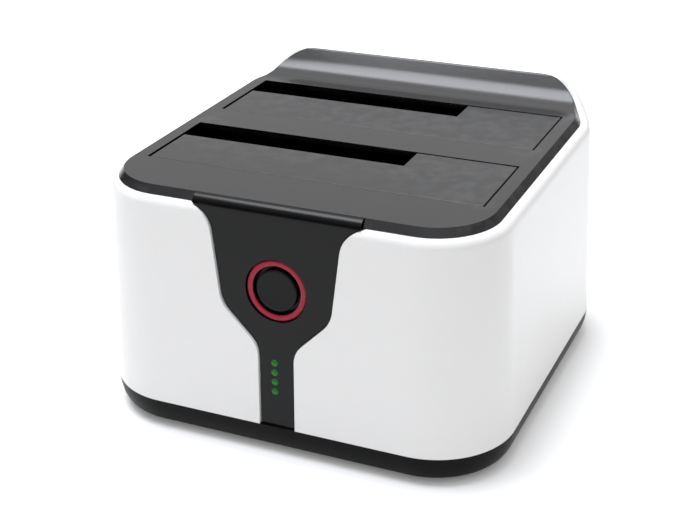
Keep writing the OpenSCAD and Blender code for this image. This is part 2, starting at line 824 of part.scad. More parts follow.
module push_switch() color("black") on_front() difference() {
    translate([-switch_half, switch_front, button_z - switch_half]) {
        cube([2 * switch_half, front_board_y - switch_front, 2 * switch_half]);
    }
    translate([-plunger_half - slide_fit, switch_front - 1, button_z - plunger_half - slide_fit]) {
        cube([2 * (plunger_half + slide_fit), 3.2 + button_travel, 2 * (plunger_half + slide_fit)]);
    }
}

module light_guide() color("green") on_front() {
    for (z = leds) {
        rod_y(led_x, z, led_r, panel_recess - 0.1, front_board_y - 1.6);
    }
    translate([led_x - 1.6, flange_back, leds[led_count - 1] - 1.6]) {
        cube([3.2, 1.4, led_top - leds[led_count - 1] + 3.2]);
    }
}

module status_leds() color("lightgreen") on_front() for (z = leds) {
    translate([led_x - 1, front_board_y - 1.6, z - 1]) cube([2, 1.6, 2]);
}

module front_board() color("darkgreen") on_front() difference() {
    translate([-front_board_half, front_board_y, 2.4]) {
        cube([2 * front_board_half, front_board_t, front_board_top - 2.4]);
    }
    for (p = front_screws) {
        rod_y(p[0], p[1], small_screw_r + 0.2, 0, far);
    }
}

module front_board_screws() color("silver") on_front() for (p = front_screws) {
    translate([p[0], front_board_y + front_board_t, p[1]]) {
        rotate([90, 0, 0]) screw(small_screw_r, front_board_t + 5.5, 2.2, 1.4);
    }
}

module main_board() color("darkgreen") difference() {
    translate([-board_w / 2, board_front, board_z]) cube([board_w, board_back - board_front, board_t]);
    for (p = standoffs) {
        translate([p[0], p[1], 0]) cylinder(h = far, r = small_screw_r + 0.3);
    }
    at_posts() cylinder(h = far, r = post_r + 0.6);
}

module board_screws() color("silver") for (p = standoffs) {
    translate([p[0], p[1], board_top]) rotate([180, 0, 0]) screw(small_screw_r, board_t + 4, 2.4, 1.4);
}

module board_header() color("black") translate([9, board_front, board_top]) {
    block([13, 2.6, 2.6], [0, 2, 0]);
    for (x = [-2 : 2]) {
        translate([2.54 * x, 0.8, 1.3]) rotate([90, 0, 0]) cylinder(h = 1.9, r = 0.32);
    }
}

// Drive connector: a block with a long and a short slot, each with the side step that keys the drive's plug.
module sata_slot(y, from, length) {
    translate([from, y - 0.7, conn_top - 6.5]) cube([length, 1.9, far]);
    translate([from, y - 1.9, conn_top - 6.5]) cube([1.4, 2, far]);
}

module sata_connector(y) difference() {
    block([conn_w, conn_d, conn_h], [-conn_left, y, board_top]);
    sata_slot(y, -conn_left - conn_w / 2 + 3, 20.6);
    sata_slot(y, -conn_left + conn_w / 2 - 15, 11);
    for (x = [-1, 1]) {
        block([1.6, conn_d, 5], [-conn_left + x * (conn_w / 2 - 0.8), y - 1.4, conn_top - 3]);
    }
}

module sata_contacts(y) {
    starts = [for (i = [0 : 14]) -conn_left - conn_w / 2 + 3.9 + 1.27 * i];
    more = [for (i = [0 : 6]) -conn_left + conn_w / 2 - 13.6 + 1.27 * i];
    for (x = concat(starts, more)) {
        translate([x, y + 0.9, conn_top - 6.5]) cube([0.7, 0.3, 5.6]);
    }
}

module front_sata_connector() color("black") sata_connector(conn_ys[0]);

module rear_sata_connector() color("black") sata_connector(conn_ys[1]);

module front_sata_contacts() color("gold") sata_contacts(conn_ys[0]);

module rear_sata_contacts() color("gold") sata_contacts(conn_ys[1]);

// Low pieces lie under the wells. The capacitors stand behind the rear well, beside the data port.
alley = bay_front + (bay_d + bay_pitch) / 2;
can_x = usb_x + usb_w / 2 + 1.6 + can_r;
can_y = bay_back + well_wall + 0.8 + can_r;

module bridge_chip() color("black") {
    block([chip_w, chip_w, chip_w / 12], [board_w / 4 - 0.5, bay_front + bay_d / 2, board_top]);
}

module capacitors() color("navy") for (i = [0 : 2]) {
    translate([can_x + i * can_pitch, can_y, board_top]) cylinder(h = can_h, r = can_r);
}

module inductors() color("dimgray") for (x = [-5 - coil_w, -3]) {
    block([coil_w, coil_w, coil_h], [x, alley, board_top]);
}

module crystal() color("silver") translate([15 - board_w / 2, alley, board_top]) {
    linear_extrude(3.4) round_rect(crystal_w, 4.4, 2.1);
}

module rear_port_plate() color("dimgray") difference() {
    on_back() along_y(plate_y, plate_y + plate_t) difference() {
        translate([0, (plate_bottom + plate_top) / 2]) {
            round_rect(2 * plate_half, plate_top - plate_bottom, 2);
        }
        translate([-rocker_x, rocker_mid]) square([rocker_w + 2.2, 13.8], center = true);
    }
    block([usb_w + 0.6, far, usb_h + 0.6], [usb_x, far / 2, board_top - 0.3]);
    rod_y(jack_x, jack_z, jack_w / 2 + 0.3, 0, far);
}

module usb_port_shell() color("silver") difference() {
    translate([usb_x - usb_w / 2, usb_front, board_top]) cube([usb_w, usb_back - usb_front, usb_h]);
    translate([usb_x - usb_w / 2 + 0.5, usb_front + 4, board_top + 0.5]) {
        cube([usb_w - 1, far, usb_h - 1]);
    }
}

// Lining of the data port: a stepped mouth with a thick tongue in its wide part and a thin one above.
module usb_port_insert() color("royalblue") translate([usb_x, 0, board_top]) {
    mouth = usb_front + 7;
    difference() {
        translate([-usb_w / 2 + 0.5, usb_front + 4, 0.5]) cube([usb_w - 1, usb_back - usb_front - 4.6, usb_h - 1]);
        translate([-4.3, mouth, 1]) cube([8.6, far, 6]);
        translate([-2.9, mouth, 6.5]) cube([5.8, far, 3]);
    }
    translate([-2.8, mouth - 1, 2.5]) cube([5.6, 7, 3]);
    translate([-1.9, mouth - 1, 7.8]) cube([3.8, 7, 0.8]);
}

module dc_jack_body() color("black") translate([jack_x, 0, 0]) difference() {
    union() {
        translate([-jack_w / 2, jack_front, board_top]) cube([jack_w, jack_back - 4.2 - jack_front, jack_h]);
        rod_y(0, jack_z, jack_w / 2, jack_front, jack_back);
    }
    rod_y(0, jack_z, 3.15, jack_back - 9.5, jack_back + 1);
    rod_y(0, jack_z, 1.25 + pin_fit, jack_front + 1, jack_back);
}

module dc_jack_pin() color("silver") translate([jack_x, 0, 0]) {
    rod_y(0, jack_z, 1.25, jack_front + 1, jack_back - 1.5);
}

module rocker_housing() color("black") on_back() translate([-rocker_x, 0, rocker_mid]) difference() {
    union() {
        translate([-rocker_w / 2 - 1.9, plate_y - 1.5, -7.6]) cube([rocker_w + 3.8, 1.5, 15.2]);
        translate([-rocker_w / 2 - 1, plate_y - 1, -6.8]) cube([rocker_w + 2, 10, 13.6]);
    }
    translate([-rocker_w / 2 - slide_fit, 0, -6]) cube([rocker_w + 2 * slide_fit, plate_y + 8, 12]);
    rod_x(rocker_y, 0, 1 + turn_fit, -far, far);
}

module rocker() color("black") on_back() translate([-rocker_x, rocker_y, rocker_mid]) rotate([rocker_tilt, 0, 0]) {
    along_x(rocker_w) polygon([
        [-rocker_reach, -rocker_half], [-rocker_reach + 0.6, 0], [-rocker_reach, rocker_half],
        [0.4, rocker_half], [1.6, 1.6], [1.6, -1.6], [0.4, -rocker_half]
    ]);
    rod_x(0, 0, 1, -rocker_w / 2 - 1, rocker_w / 2 + 1);
}

outer_shell();
base_tray();
rubber_feet();
base_screws();
drive_guide();
top_cover();
lid_screws();
front_door();
rear_door();
front_door_pin();
rear_door_pin();
front_door_spring();
rear_door_spring();
front_panel();
button_cap();
button_ring();
light_guide();
front_board();
push_switch();
switch_plunger();
status_leds();
front_board_screws();
main_board();
board_screws();
board_header();
front_sata_connector();
rear_sata_connector();
front_sata_contacts();
rear_sata_contacts();
bridge_chip();
capacitors();
inductors();
crystal();
rear_port_plate();
usb_port_shell();
usb_port_insert();
dc_jack_body();
dc_jack_pin();
rocker_housing();
rocker();
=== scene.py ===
"""Looks of a two-bay drive dock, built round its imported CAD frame.

Lengths are written in millimetres and become metres where a mesh is made. The frame is the
part's own: the front faces -Y, up is +Z and the floor is at z = 0.
"""

from __future__ import annotations

import json
import logging
import math
from collections.abc import Callable
from dataclasses import dataclass, field
from enum import Enum

import bmesh
import bpy
import numpy as np
from mathutils import Matrix, Vector

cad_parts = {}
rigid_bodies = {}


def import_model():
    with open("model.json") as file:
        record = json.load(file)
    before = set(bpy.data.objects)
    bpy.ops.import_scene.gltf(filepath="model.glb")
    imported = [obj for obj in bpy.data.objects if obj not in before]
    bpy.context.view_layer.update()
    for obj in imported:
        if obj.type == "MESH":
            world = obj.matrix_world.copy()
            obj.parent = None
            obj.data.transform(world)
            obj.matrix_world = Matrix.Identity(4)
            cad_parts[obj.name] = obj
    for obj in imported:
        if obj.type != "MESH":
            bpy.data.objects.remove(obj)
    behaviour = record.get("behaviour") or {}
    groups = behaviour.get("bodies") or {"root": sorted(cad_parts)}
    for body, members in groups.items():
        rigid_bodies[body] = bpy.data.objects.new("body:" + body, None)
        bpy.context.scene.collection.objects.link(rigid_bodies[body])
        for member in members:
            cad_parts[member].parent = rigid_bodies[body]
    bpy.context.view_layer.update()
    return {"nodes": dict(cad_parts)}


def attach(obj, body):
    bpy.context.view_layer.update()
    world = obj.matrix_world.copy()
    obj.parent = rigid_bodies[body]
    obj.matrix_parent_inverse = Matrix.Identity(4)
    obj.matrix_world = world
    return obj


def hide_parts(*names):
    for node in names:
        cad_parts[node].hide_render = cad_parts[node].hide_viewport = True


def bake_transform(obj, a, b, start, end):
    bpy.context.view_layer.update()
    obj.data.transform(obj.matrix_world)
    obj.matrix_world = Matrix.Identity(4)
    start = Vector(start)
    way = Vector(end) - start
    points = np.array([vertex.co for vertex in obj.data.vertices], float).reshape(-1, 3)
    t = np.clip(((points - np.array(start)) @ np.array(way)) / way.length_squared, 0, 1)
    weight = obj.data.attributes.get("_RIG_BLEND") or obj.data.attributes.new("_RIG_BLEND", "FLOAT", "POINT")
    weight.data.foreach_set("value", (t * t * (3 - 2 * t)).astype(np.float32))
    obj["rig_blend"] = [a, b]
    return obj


MM = 0.001
NEAR = 0.01  # Millimetres within which two places count as one.
WHITE = (1.0, 1.0, 1.0, 1.0)
DUST_COLOUR = (0.55, 0.54, 0.52)
SCATTER_RADII = (0.002, 0.001, 0.001)
Colour = tuple[float, float, float]
Profile = tuple[tuple[float, float], ...]
Socket = bpy.types.NodeSocket
Tree = bpy.types.NodeTree
log = logging.getLogger("dock")


# Surfaces


@dataclass
class Surface:
    """A mesh being worked out, before it becomes an object."""

    points: np.ndarray  # Array of shape (n, 3), in millimetres.
    quads: np.ndarray  # Array of shape (m, 4). A triangle repeats one corner.
    caps: list[np.ndarray] = field(default_factory=list)  # Loops of indices, each closed with one polygon.

    def welded(self) -> Surface:
        """Merges points that lie within a ten-thousandth of a millimetre.

        Returns:
            A surface of those points with the same faces.
        """
        keys = np.round(self.points * 1e4).astype(np.int64)
        _, first, inverse = np.unique(keys, axis=0, return_index=True, return_inverse=True)
        inverse = inverse.reshape(-1)
        return Surface(self.points[first], inverse[self.quads], [inverse[c] for c in self.caps])

    def faces(self) -> list[list[int]]:
        """Lists the faces, with repeated corners and faces without area left out.

        Returns:
            Corner indices of each face.
        """
        following = np.roll(self.quads, -1, axis=1)
        repeated = self.quads == following
        count = repeated.sum(axis=1)
        four = self.quads[count == 0]
        single = count == 1
        three = self.quads[single][~repeated[single]].reshape(-1, 3)
        return four.tolist() + three.tolist() + [c.tolist() for c in self.caps]

    def mesh(self, name: str) -> bpy.types.Mesh:
        """Makes the mesh in metres, with its points merged and its faces turned outward.

        Args:
            name: Name of the mesh.

        Returns:
            The mesh.
        """
        whole = self.welded()
        mesh = bpy.data.meshes.new(name)
        mesh.from_pydata((whole.points * MM).tolist(), [], whole.faces())
        work = bmesh.new()
        work.from_mesh(mesh)
        bmesh.ops.recalc_face_normals(work, faces=work.faces)
        work.to_mesh(mesh)
        work.free()
        return mesh


def join(parts: list[Surface]) -> Surface:
    """Puts several surfaces, each with indices of its own, into one.

    Args:
        parts: The surfaces.

    Returns:
        One surface that holds all of them.
    """
    starts = np.cumsum([0] + [len(p.points) for p in parts[:-1]])
    return Surface(
        np.concatenate([p.points for p in parts]),
        np.concatenate([p.quads + s for p, s in zip(parts, starts)]),
        [c + s for p, s in zip(parts, starts) for c in p.caps],
    )


def cells(rows: int, columns: int, wrap_rows: bool = False, wrap_columns: bool = False) -> np.ndarray:
    """Corner indices of the cells of a grid, shape (rows, columns, 4), with wrapped ends where asked.

    Args:
        rows: Number of rows of points.
        columns: Number of columns of points.
        wrap_rows: Whether the last row joins the first.
        wrap_columns: Whether the last column joins the first.

    Returns:
        The four corner indices of each cell.
    """
    r = np.arange(rows if wrap_rows else rows - 1)[:, None]
    c = np.arange(columns if wrap_columns else columns - 1)[None, :]
    up, right = (r + 1) % rows, (c + 1) % columns
    corners = np.broadcast_arrays(r * columns + c, r * columns + right, up * columns + right, up * columns + c)
    return np.stack(corners, axis=-1)


def plate(front: np.ndarray, back: np.ndarray, quads: np.ndarray) -> Surface:
    """Closes two sheets of the same layout into one solid.

    The front keeps its cells, the back takes them turned over, and each edge that only one cell
    uses gets a wall from the front to the back.

    Args:
        front: Points of the front sheet, shape (n, 3).
        back: Points of the back sheet, in the same order.
        quads: Cells of the front sheet, shape (m, 4).

    Returns:
        The closed surface.
    """
    count = len(front)
    edges = np.stack([quads, np.roll(quads, -1, axis=1)], axis=-1).reshape(-1, 2)
    edges = edges[edges[:, 0] != edges[:, 1]]
    keys = np.sort(edges, axis=1)
    _, index, uses = np.unique(keys, axis=0, return_index=True, return_counts=True)
    rim = edges[index[uses == 1]]
    walls = np.stack([rim[:, 1], rim[:, 0], rim[:, 0] + count, rim[:, 1] + count], axis=-1)
    return Surface(np.concatenate([front, back]), np.concatenate([quads, quads[:, ::-1] + count, walls]))


def brick(low: tuple[float, float, float], high: tuple[float, float, float]) -> Surface:
    """A block from its lowest to its highest corner, as a plate of one cell.

    Args:
        low: Its lowest corner.
        high: Its highest corner.

    Returns:
        The closed surface.
    """
    x, y = np.meshgrid([low[0], high[0]], [low[1], high[1]])
    top = np.stack([x.ravel(), y.ravel(), np.full(4, high[2])], axis=-1)
    return plate(top, top * [1, 1, 0] + [0, 0, low[2]], cells(2, 2).reshape(-1, 4))


def turned(profile: Profile, steps: int = 64, hollow: bool = False) -> Surface:
    """A profile of radius and depth turned round the depth axis: (r cos u, r sin u, depth).

    Args:
        profile: Pairs of radius and depth along the profile.
        steps: Points in each turn.
        hollow: True for a ring, whose profile closes on itself. Otherwise both ends get a cap.

    Returns:
        The closed surface round the local z axis.
    """
    r, depth = np.array(profile, float).T
    u = np.linspace(0, 2 * math.pi, steps, endpoint=False)
    axis = np.broadcast_to(depth[:, None], (len(r), steps))
    points = np.stack([r[:, None] * np.cos(u), r[:, None] * np.sin(u), axis], axis=-1)
    quads = cells(len(r), steps, wrap_rows=hollow, wrap_columns=True).reshape(-1, 4)
    ends = [] if hollow else [np.arange(steps)[::-1], np.arange(steps) + (len(r) - 1) * steps]
    return Surface(points.reshape(-1, 3), quads, ends)


def tube(path: np.ndarray, radius: float, sides: int = 12) -> Surface:
    """A round wire along a path: path(t) + radius (cos v a(t) + sin v b(t)), a and b square to the path.

    Args:
        path: Points along the wire, shape (n, 3).
        radius: Radius of the wire.
        sides: Points round the wire.

    Returns:
        The closed surface, with flat ends.
    """
    along = np.gradient(path, axis=0)
    along /= np.linalg.norm(along, axis=1, keepdims=True)
    a = np.array([1.0, 0, 0]) - along * along[:, :1]
    a /= np.linalg.norm(a, axis=1, keepdims=True)
    b = np.cross(along, a)
    v = np.linspace(0, 2 * math.pi, sides, endpoint=False)[None, :, None]
    points = path[:, None] + radius * (np.cos(v) * a[:, None] + np.sin(v) * b[:, None])
    quads = cells(len(path), sides, wrap_columns=True).reshape(-1, 4)
    ends = [np.arange(sides)[::-1], np.arange(sides) + (len(path) - 1) * sides]
    return Surface(points.reshape(-1, 3), quads, ends)


def repeated(shape: Surface, places: list[tuple[float, float, float]]) -> Surface:
    """Puts a copy of a surface at each place, all in one surface."""
    return join([Surface(shape.points + place, shape.quads, shape.caps) for place in places])


# Finishes


def fill(tree: Tree, node: bpy.types.Node, inputs: dict) -> None:
    """Gives a node its inputs, by name or number: a socket is linked, any other value is set.

    Args:
        tree: The tree that the node is in.
        node: The node.
        inputs: Values and sockets.
    """
    for key, value in inputs.items():
        if isinstance(value, Socket):
            tree.links.new(value, node.inputs[key])
        else:
            node.inputs[key].default_value = value


def add_node(tree: Tree, kind: str, inputs: dict | None = None, **settings: object) -> bpy.types.Node:
    """Adds a shader node.

    Args:
        tree: The tree that gets it.
        kind: Its type, without the word that all shader nodes start with.
        inputs: Values and sockets for its inputs.
        **settings: Attributes of the node, set before its inputs.

    Returns:
        The node.
    """
    node = tree.nodes.new(f"ShaderNode{kind}")
    for key, value in settings.items():
        setattr(node, key, value)
    fill(tree, node, inputs or {})
    return node


class Effect(Enum):
    """Shader effects that all finishes share, each made once as a node group."""

    GRAIN = "moulded_grain"
    RUB = "edge_rub"
    HAZE = "handling_haze"
    DUST = "settled_dust"


class Effects:
    """The shared node groups. Each puts out a value that changes over the surface."""

    def __init__(self) -> None:
        """Makes the four groups, with the usual values of their inputs."""
        self.groups = {
            Effect.GRAIN: self._group(Effect.GRAIN, self._grain, "Height", Scale=3000.0, Pits=0.5),
            Effect.RUB: self._group(Effect.RUB, self._rub, "Mask", Amount=0.5, Scale=260.0),
            Effect.HAZE: self._group(Effect.HAZE, self._haze, "Roughness", Scale=40.0, Least=0.3, Most=0.4),
            Effect.DUST: self._group(Effect.DUST, self._dust, "Mask", Amount=0.1, Scale=900.0),
        }

    @staticmethod
    def _group(effect: Effect, maker: Callable, output: str, **inputs: float) -> Tree:
        """Makes one group with float inputs and one float output.

        Args:
            effect: The effect, which names the group.
            maker: Method that adds the nodes and gives the socket to put out.
            output: Name of the output.
            **inputs: Inputs with their usual values.

        Returns:
            The group.
        """
        tree = bpy.data.node_groups.new(effect.value, "ShaderNodeTree")
        for name, value in inputs.items():
            tree.interface.new_socket(name, in_out="INPUT", socket_type="NodeSocketFloat").default_value = value
        tree.interface.new_socket(output, in_out="OUTPUT", socket_type="NodeSocketFloat")
        given, put = tree.nodes.new("NodeGroupInput"), tree.nodes.new("NodeGroupOutput")
        fill(tree, put, {output: maker(tree, given.outputs)})
        return tree

    @staticmethod
    def _noise(tree: Tree, scale: Socket, detail: float, roughness: float) -> Socket:
        """Noise on Object coordinates, with its octaves and the strength of the finer ones.

        Args:
            tree: The group.
            scale: Socket of its scale.
            detail: Its octaves.
            roughness: Strength of the finer octaves.

        Returns:
            Its value.
        """
        place = add_node(tree, "TexCoord").outputs["Object"]
        inputs = {"Vector": place, "Scale": scale, "Detail": detail, "Roughness": roughness}
        return add_node(tree, "TexNoise", inputs).outputs["Fac"]

    @staticmethod
    def _range(tree: Tree, value: Socket, low: float, high: float, ends: dict | None = None) -> Socket:
        """Maps low..high to 0..1, or to other ends, and clamps it."""
        inputs = {"Value": value, "From Min": low, "From Max": high, **(ends or {})}
        return add_node(tree, "MapRange", inputs).outputs["Result"]

    @staticmethod
    def _product(tree: Tree, *factors: Socket) -> Socket:
        """Multiplies sockets with each other.

        Args:
            tree: The group.
            *factors: The sockets.

        Returns:
            Their product.
        """
        total = factors[0]
        for factor in factors[1:]:
            total = add_node(tree, "Math", {0: total, 1: factor}, operation="MULTIPLY").outputs[0]
        return total

    def _grain(self, tree: Tree, given: bpy.types.NodeOutputs) -> Socket:
        """Spark-eroded mould texture: fine noise with a share of small pits between cells.

        Args:
            tree: The group.
            given: Its inputs.

        Returns:
            The height.
        """
        noise = self._noise(tree, given["Scale"], 3.0, 0.6)
        place = add_node(tree, "TexCoord").outputs["Object"]
        pits = add_node(tree, "TexVoronoi", {"Vector": place, "Scale": given["Scale"]}).outputs["Distance"]
        return add_node(tree, "Mix", {0: given["Pits"], 2: noise, 3: pits}).outputs[0]

    def _rub(self, tree: Tree, given: bpy.types.NodeOutputs) -> Socket:
        """Rubbed edges: outward edges of the mesh, broken up by noise.

        Args:
            tree: The group.
            given: Its inputs.

        Returns:
            The mask.
        """
        edge = self._range(tree, add_node(tree, "NewGeometry").outputs["Pointiness"], 0.53, 0.60)
        patches = self._range(tree, self._noise(tree, given["Scale"], 4.0, 0.65), 0.42, 0.62)
        return self._product(tree, edge, patches, given["Amount"])

    def _haze(self, tree: Tree, given: bpy.types.NodeOutputs) -> Socket:
        """Roughness that drifts between two values, as where a surface is handled."""
        noise = self._noise(tree, given["Scale"], 5.0, 0.55)
        return self._range(tree, noise, 0.3, 0.7, {"To Min": given["Least"], "To Max": given["Most"]})

    def _dust(self, tree: Tree, given: bpy.types.NodeOutputs) -> Socket:
        """Thin dust on faces that look up, in sparse specks.

        Args:
            tree: The group.
            given: Its inputs.

        Returns:
            The mask.
        """
        normal = add_node(tree, "NewGeometry").outputs["Normal"]
        upward = self._range(tree, add_node(tree, "SeparateXYZ", {"Vector": normal}).outputs["Z"], 0.6, 1.0)
        specks = self._range(tree, self._noise(tree, given["Scale"], 6.0, 0.7), 0.52, 0.75)
        return self._product(tree, upward, specks, given["Amount"])


def grey(value: float) -> Colour:
    """A grey of one linear value."""
    return (value, value, value)


@dataclass(frozen=True)
class Finish:
    """One surface finish."""

    colour: Colour  # Linear base colour.
    rough: tuple[float, float]  # Least and most roughness.
    worn: Colour = grey(0.2)  # Linear colour of rubbed edges.
    rub: float = 0.3  # Share of the worn colour on edges.
    haze: float = 40.0  # Patches of roughness per metre.
    grain: float = 3000.0  # Grain cells per metre.
    depth: float = 0.012  # Height of the grain in millimetres.
    pits: float = 0.4  # Share of pits in the grain.
    mottle: float = 0.15  # Share by which the grain darkens the colour.
    dust: float = 0.04  # Share of dust on top faces.
    metallic: float = 0.0  # 1 for metal, 0 for the rest.
    specular: float = 0.5  # Strength of the plain reflection.
    coat: float = 0.0  # Weight of a clear gloss layer.
    coat_rough: float = 0.05  # Roughness of that layer.
    glow: Colour | None = None  # Linear colour that the surface gives off, or none.
    glow_strength: float = 0.0  # Strength of that light.
    scatter: float = 0.0  # Share of light that goes into the material.

    def material(self, name: str, effects: Effects) -> bpy.types.Material:
        """Makes the material: shared effects drive colour, roughness and bump of one shader.

        Args:
            name: Name of the material.
            effects: The shared node groups.

        Returns:
            The material.
        """
        made = bpy.data.materials.new(name)
        made.use_nodes = True
        tree = made.node_tree

        def effect(kind: Effect, output: str, **values: float) -> Socket:
            """Places an effect with its own values and gives its output."""
            return add_node(tree, "Group", values, node_tree=effects.groups[kind]).outputs[output]

        def mixed(share: Socket, base: Socket | tuple[float, ...], over: Colour) -> Socket:
            """Lays a colour over another by a share."""
            return add_node(tree, "Mix", {0: share, 6: base, 7: (*over, 1.0)}, data_type="RGBA").outputs[2]

        grain = effect(Effect.GRAIN, "Height", Scale=self.grain, Pits=self.pits)
        rub, dust = (effect(k, "Mask", Amount=a) for k, a in ((Effect.RUB, self.rub), (Effect.DUST, self.dust)))
        haze = effect(Effect.HAZE, "Roughness", Scale=self.haze, Least=self.rough[0], Most=self.rough[1])
        dark = tuple(c * (1 - 2 * self.mottle) for c in self.colour)
        shaded = mixed(grain, (*self.colour, 1.0), dark)
        dusted = mixed(dust, mixed(rub, shaded, self.worn), DUST_COLOUR)
        bump = add_node(tree, "Bump", {"Strength": 1.0, "Distance": self.depth * MM, "Height": grain})
        inputs = {
            "Base Color": dusted, "Roughness": haze, "Normal": bump.outputs["Normal"], "Metallic": self.metallic,
            "Specular IOR Level": self.specular, "Coat Weight": self.coat, "Coat Roughness": self.coat_rough,
        }
        if self.scatter:
            inputs |= {"Subsurface Weight": self.scatter, "Subsurface Radius": SCATTER_RADII, "Subsurface Scale": 0.5}
        if self.glow:
            inputs |= {"Emission Color": (*self.glow, 1.0), "Emission Strength": self.glow_strength}
        fill(tree, tree.nodes["Principled BSDF"], inputs)
        return made


class Slot(Enum):
    """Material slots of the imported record, each with its finish below."""

    SHELL = "shell_white"
    LID = "lid_black"
    DOOR = "door_black"
    PANEL = "panel_black"
    BASE = "base_black"
    SHADED_GUIDE = "guide_black"
    CAP = "cap_black"
    RING = "ring_red"
    LIGHT = "light_green"
    LAMP = "led_clear"
    RUBBER = "rubber_black"
    STEEL = "steel"
    BOARD = "board_green"
    CHIP = "chip_black"
    PLUNGER = "plunger_white"
    CONTACT = "contact_gold"
    CAN = "can_aluminium"
    FERRITE = "ferrite_grey"
    PORT = "port_metal"
    LINING = "port_blue"
    SWITCH = "switch_black"


# Values by place: colour, rough, worn, rub, haze, grain, depth, pits, mottle and dust.
FINISHES: dict[Slot, Finish] = {
    Slot.SHELL: Finish((0.772, 0.764, 0.756), (0.10, 0.17), (0.64, 0.64, 0.63), 0.12, 30, 420, 0.003, 0.1, 0.01,
                       0.0, specular=0.28, coat=0.05, coat_rough=0.04),
    Slot.LID: Finish((0.014, 0.014, 0.0155), (0.18, 0.22), grey(0.10), 0.2, 45, 3200, 0.009, dust=0.008),
    Slot.DOOR: Finish((0.020, 0.020, 0.021), (0.36, 0.38), grey(0.10), 0.2, 45, 3000, 0.003, mottle=0.05, dust=0.002),
    Slot.PANEL: Finish((0.001, 0.001, 0.0012), (0.18, 0.22), grey(0.05), 0.15, 50, 3600, 0.006,
                       dust=0.0, specular=0.21),
    Slot.BASE: Finish(grey(0.002), (0.36, 0.42), grey(0.03), 0.15, 50, 2600, 0.010, dust=0.0, specular=0.1),
    # Guide: black plastic darkened to almost no colour and almost no reflection, painted shade for the shaded inside of
    # the bays.
    Slot.SHADED_GUIDE: Finish(grey(0.0004), (0.6, 0.7), grey(0.004), 0.15, grain=1800, dust=0.0, specular=0.01),
    Slot.CAP: Finish((0.003, 0.003, 0.0034), (0.34, 0.40), grey(0.04), 0.15, 60, 3600, 0.006,
                     dust=0.0, specular=0.17),
    Slot.RING: Finish((0.30, 0.010, 0.030), (0.22, 0.30), (0.4, 0.05, 0.07), 0.2, 80, 2400, 0.004, mottle=0.06,
                      dust=0.0, specular=0.25, scatter=0.1),
    Slot.LIGHT: Finish((0.003, 0.12, 0.008), (0.14, 0.22), (0.01, 0.3, 0.02), 0.2, 300, 5000, 0.003, mottle=0.2,
                       dust=0.0, specular=0.25, glow=(0.004, 0.16, 0.008), glow_strength=0.3),
    Slot.LAMP: Finish((0.55, 0.62, 0.55), (0.15, 0.25), grain=2000, depth=0.004),
    Slot.RUBBER: Finish(grey(0.014), (0.68, 0.80), grey(0.05), 0.3, 70, 1500, 0.03),
    Slot.STEEL: Finish((0.50, 0.50, 0.51), (0.22, 0.36), grey(0.7), 0.4, 200, 4200, 0.004, mottle=0.08, metallic=1.0),
    Slot.BOARD: Finish((0.010, 0.10, 0.035), (0.28, 0.40), (0.25, 0.22, 0.12), 0.3, 150, 900, 0.02, mottle=0.2),
    Slot.CHIP: Finish(grey(0.012), (0.42, 0.52), grey(0.06), 0.2, 90, 2600, 0.01),
    Slot.PLUNGER: Finish((0.62, 0.62, 0.58), (0.35, 0.45), (0.5, 0.5, 0.46), 0.2, grain=1600, mottle=0.03),
    Slot.CONTACT: Finish((0.78, 0.53, 0.18), (0.2, 0.32), (0.85, 0.66, 0.35), 0.3, 400, 6000, 0.003, mottle=0.06,
                         metallic=1.0),
    Slot.CAN: Finish((0.62, 0.62, 0.64), (0.25, 0.38), grey(0.75), 0.3, 120, 3600, 0.005, mottle=0.06, metallic=1.0),
    Slot.FERRITE: Finish((0.06, 0.06, 0.064), (0.55, 0.7), grain=2200, depth=0.03),
    Slot.PORT: Finish((0.52, 0.52, 0.53), (0.20, 0.34), grey(0.7), 0.4, 160, 3800, 0.004, mottle=0.08, metallic=1.0),
    Slot.LINING: Finish((0.012, 0.06, 0.30), (0.38, 0.48), (0.08, 0.16, 0.45), 0.2, 120, 2800, 0.008),
    Slot.SWITCH: Finish(grey(0.010), (0.18, 0.28), grey(0.06), 0.25, 120, 2200, 0.006, coat=0.2),
}


class FinishShop:
    """Keeps one material for each slot and hands out objects dressed in it."""

    segments = 3
    soft_from = math.radians(38)
    sharp_from = math.radians(32)

    def __init__(self) -> None:
        """Makes every slot's material once."""
        effects = Effects()
        self.materials = {slot: finish.material(slot.value, effects) for slot, finish in FINISHES.items()}

    def dress(
        self, name: str, shape: Surface | bpy.types.Mesh, slot: Slot, soft: float, body: str | None, *nodes: str
    ) -> bpy.types.Object:
        """Makes the piece of a closed surface or finished mesh, with its material, soft edges and body.

        Args:
            name: Name of the piece.
            shape: Its surface, or its mesh in metres.
            slot: Its material slot.
            soft: Radius of its rounded edges in millimetres, or 0 for none.
            body: The body that it rides on, or None where the caller blends it.
            *nodes: CAD nodes that it stands for.

        Returns:
            The new object.
        """
        mesh = shape.mesh(name) if isinstance(shape, Surface) else shape
        mesh.polygons.foreach_set("use_smooth", np.ones(len(mesh.polygons), bool))
        mesh.materials.clear()
        mesh.materials.append(self.materials[slot])
        piece = bpy.data.objects.new(name, mesh)
        bpy.context.scene.collection.objects.link(piece)
        if soft:
            edge = piece.modifiers.new("soft_edges", "BEVEL")
            edge.width = soft * MM
            edge.segments = self.segments
            edge.limit_method = "ANGLE"
            edge.angle_limit = self.soft_from
            edge.harden_normals = True
        else:
            mesh.set_sharp_from_angle(angle=self.sharp_from)
        if body:
            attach(piece, body)
        if nodes:
            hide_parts(*nodes)
        log.info("%s: %d faces, for %s", name, len(mesh.polygons), ", ".join(nodes) or "the look alone")
        return piece


# Sizes that several sub-assemblies share


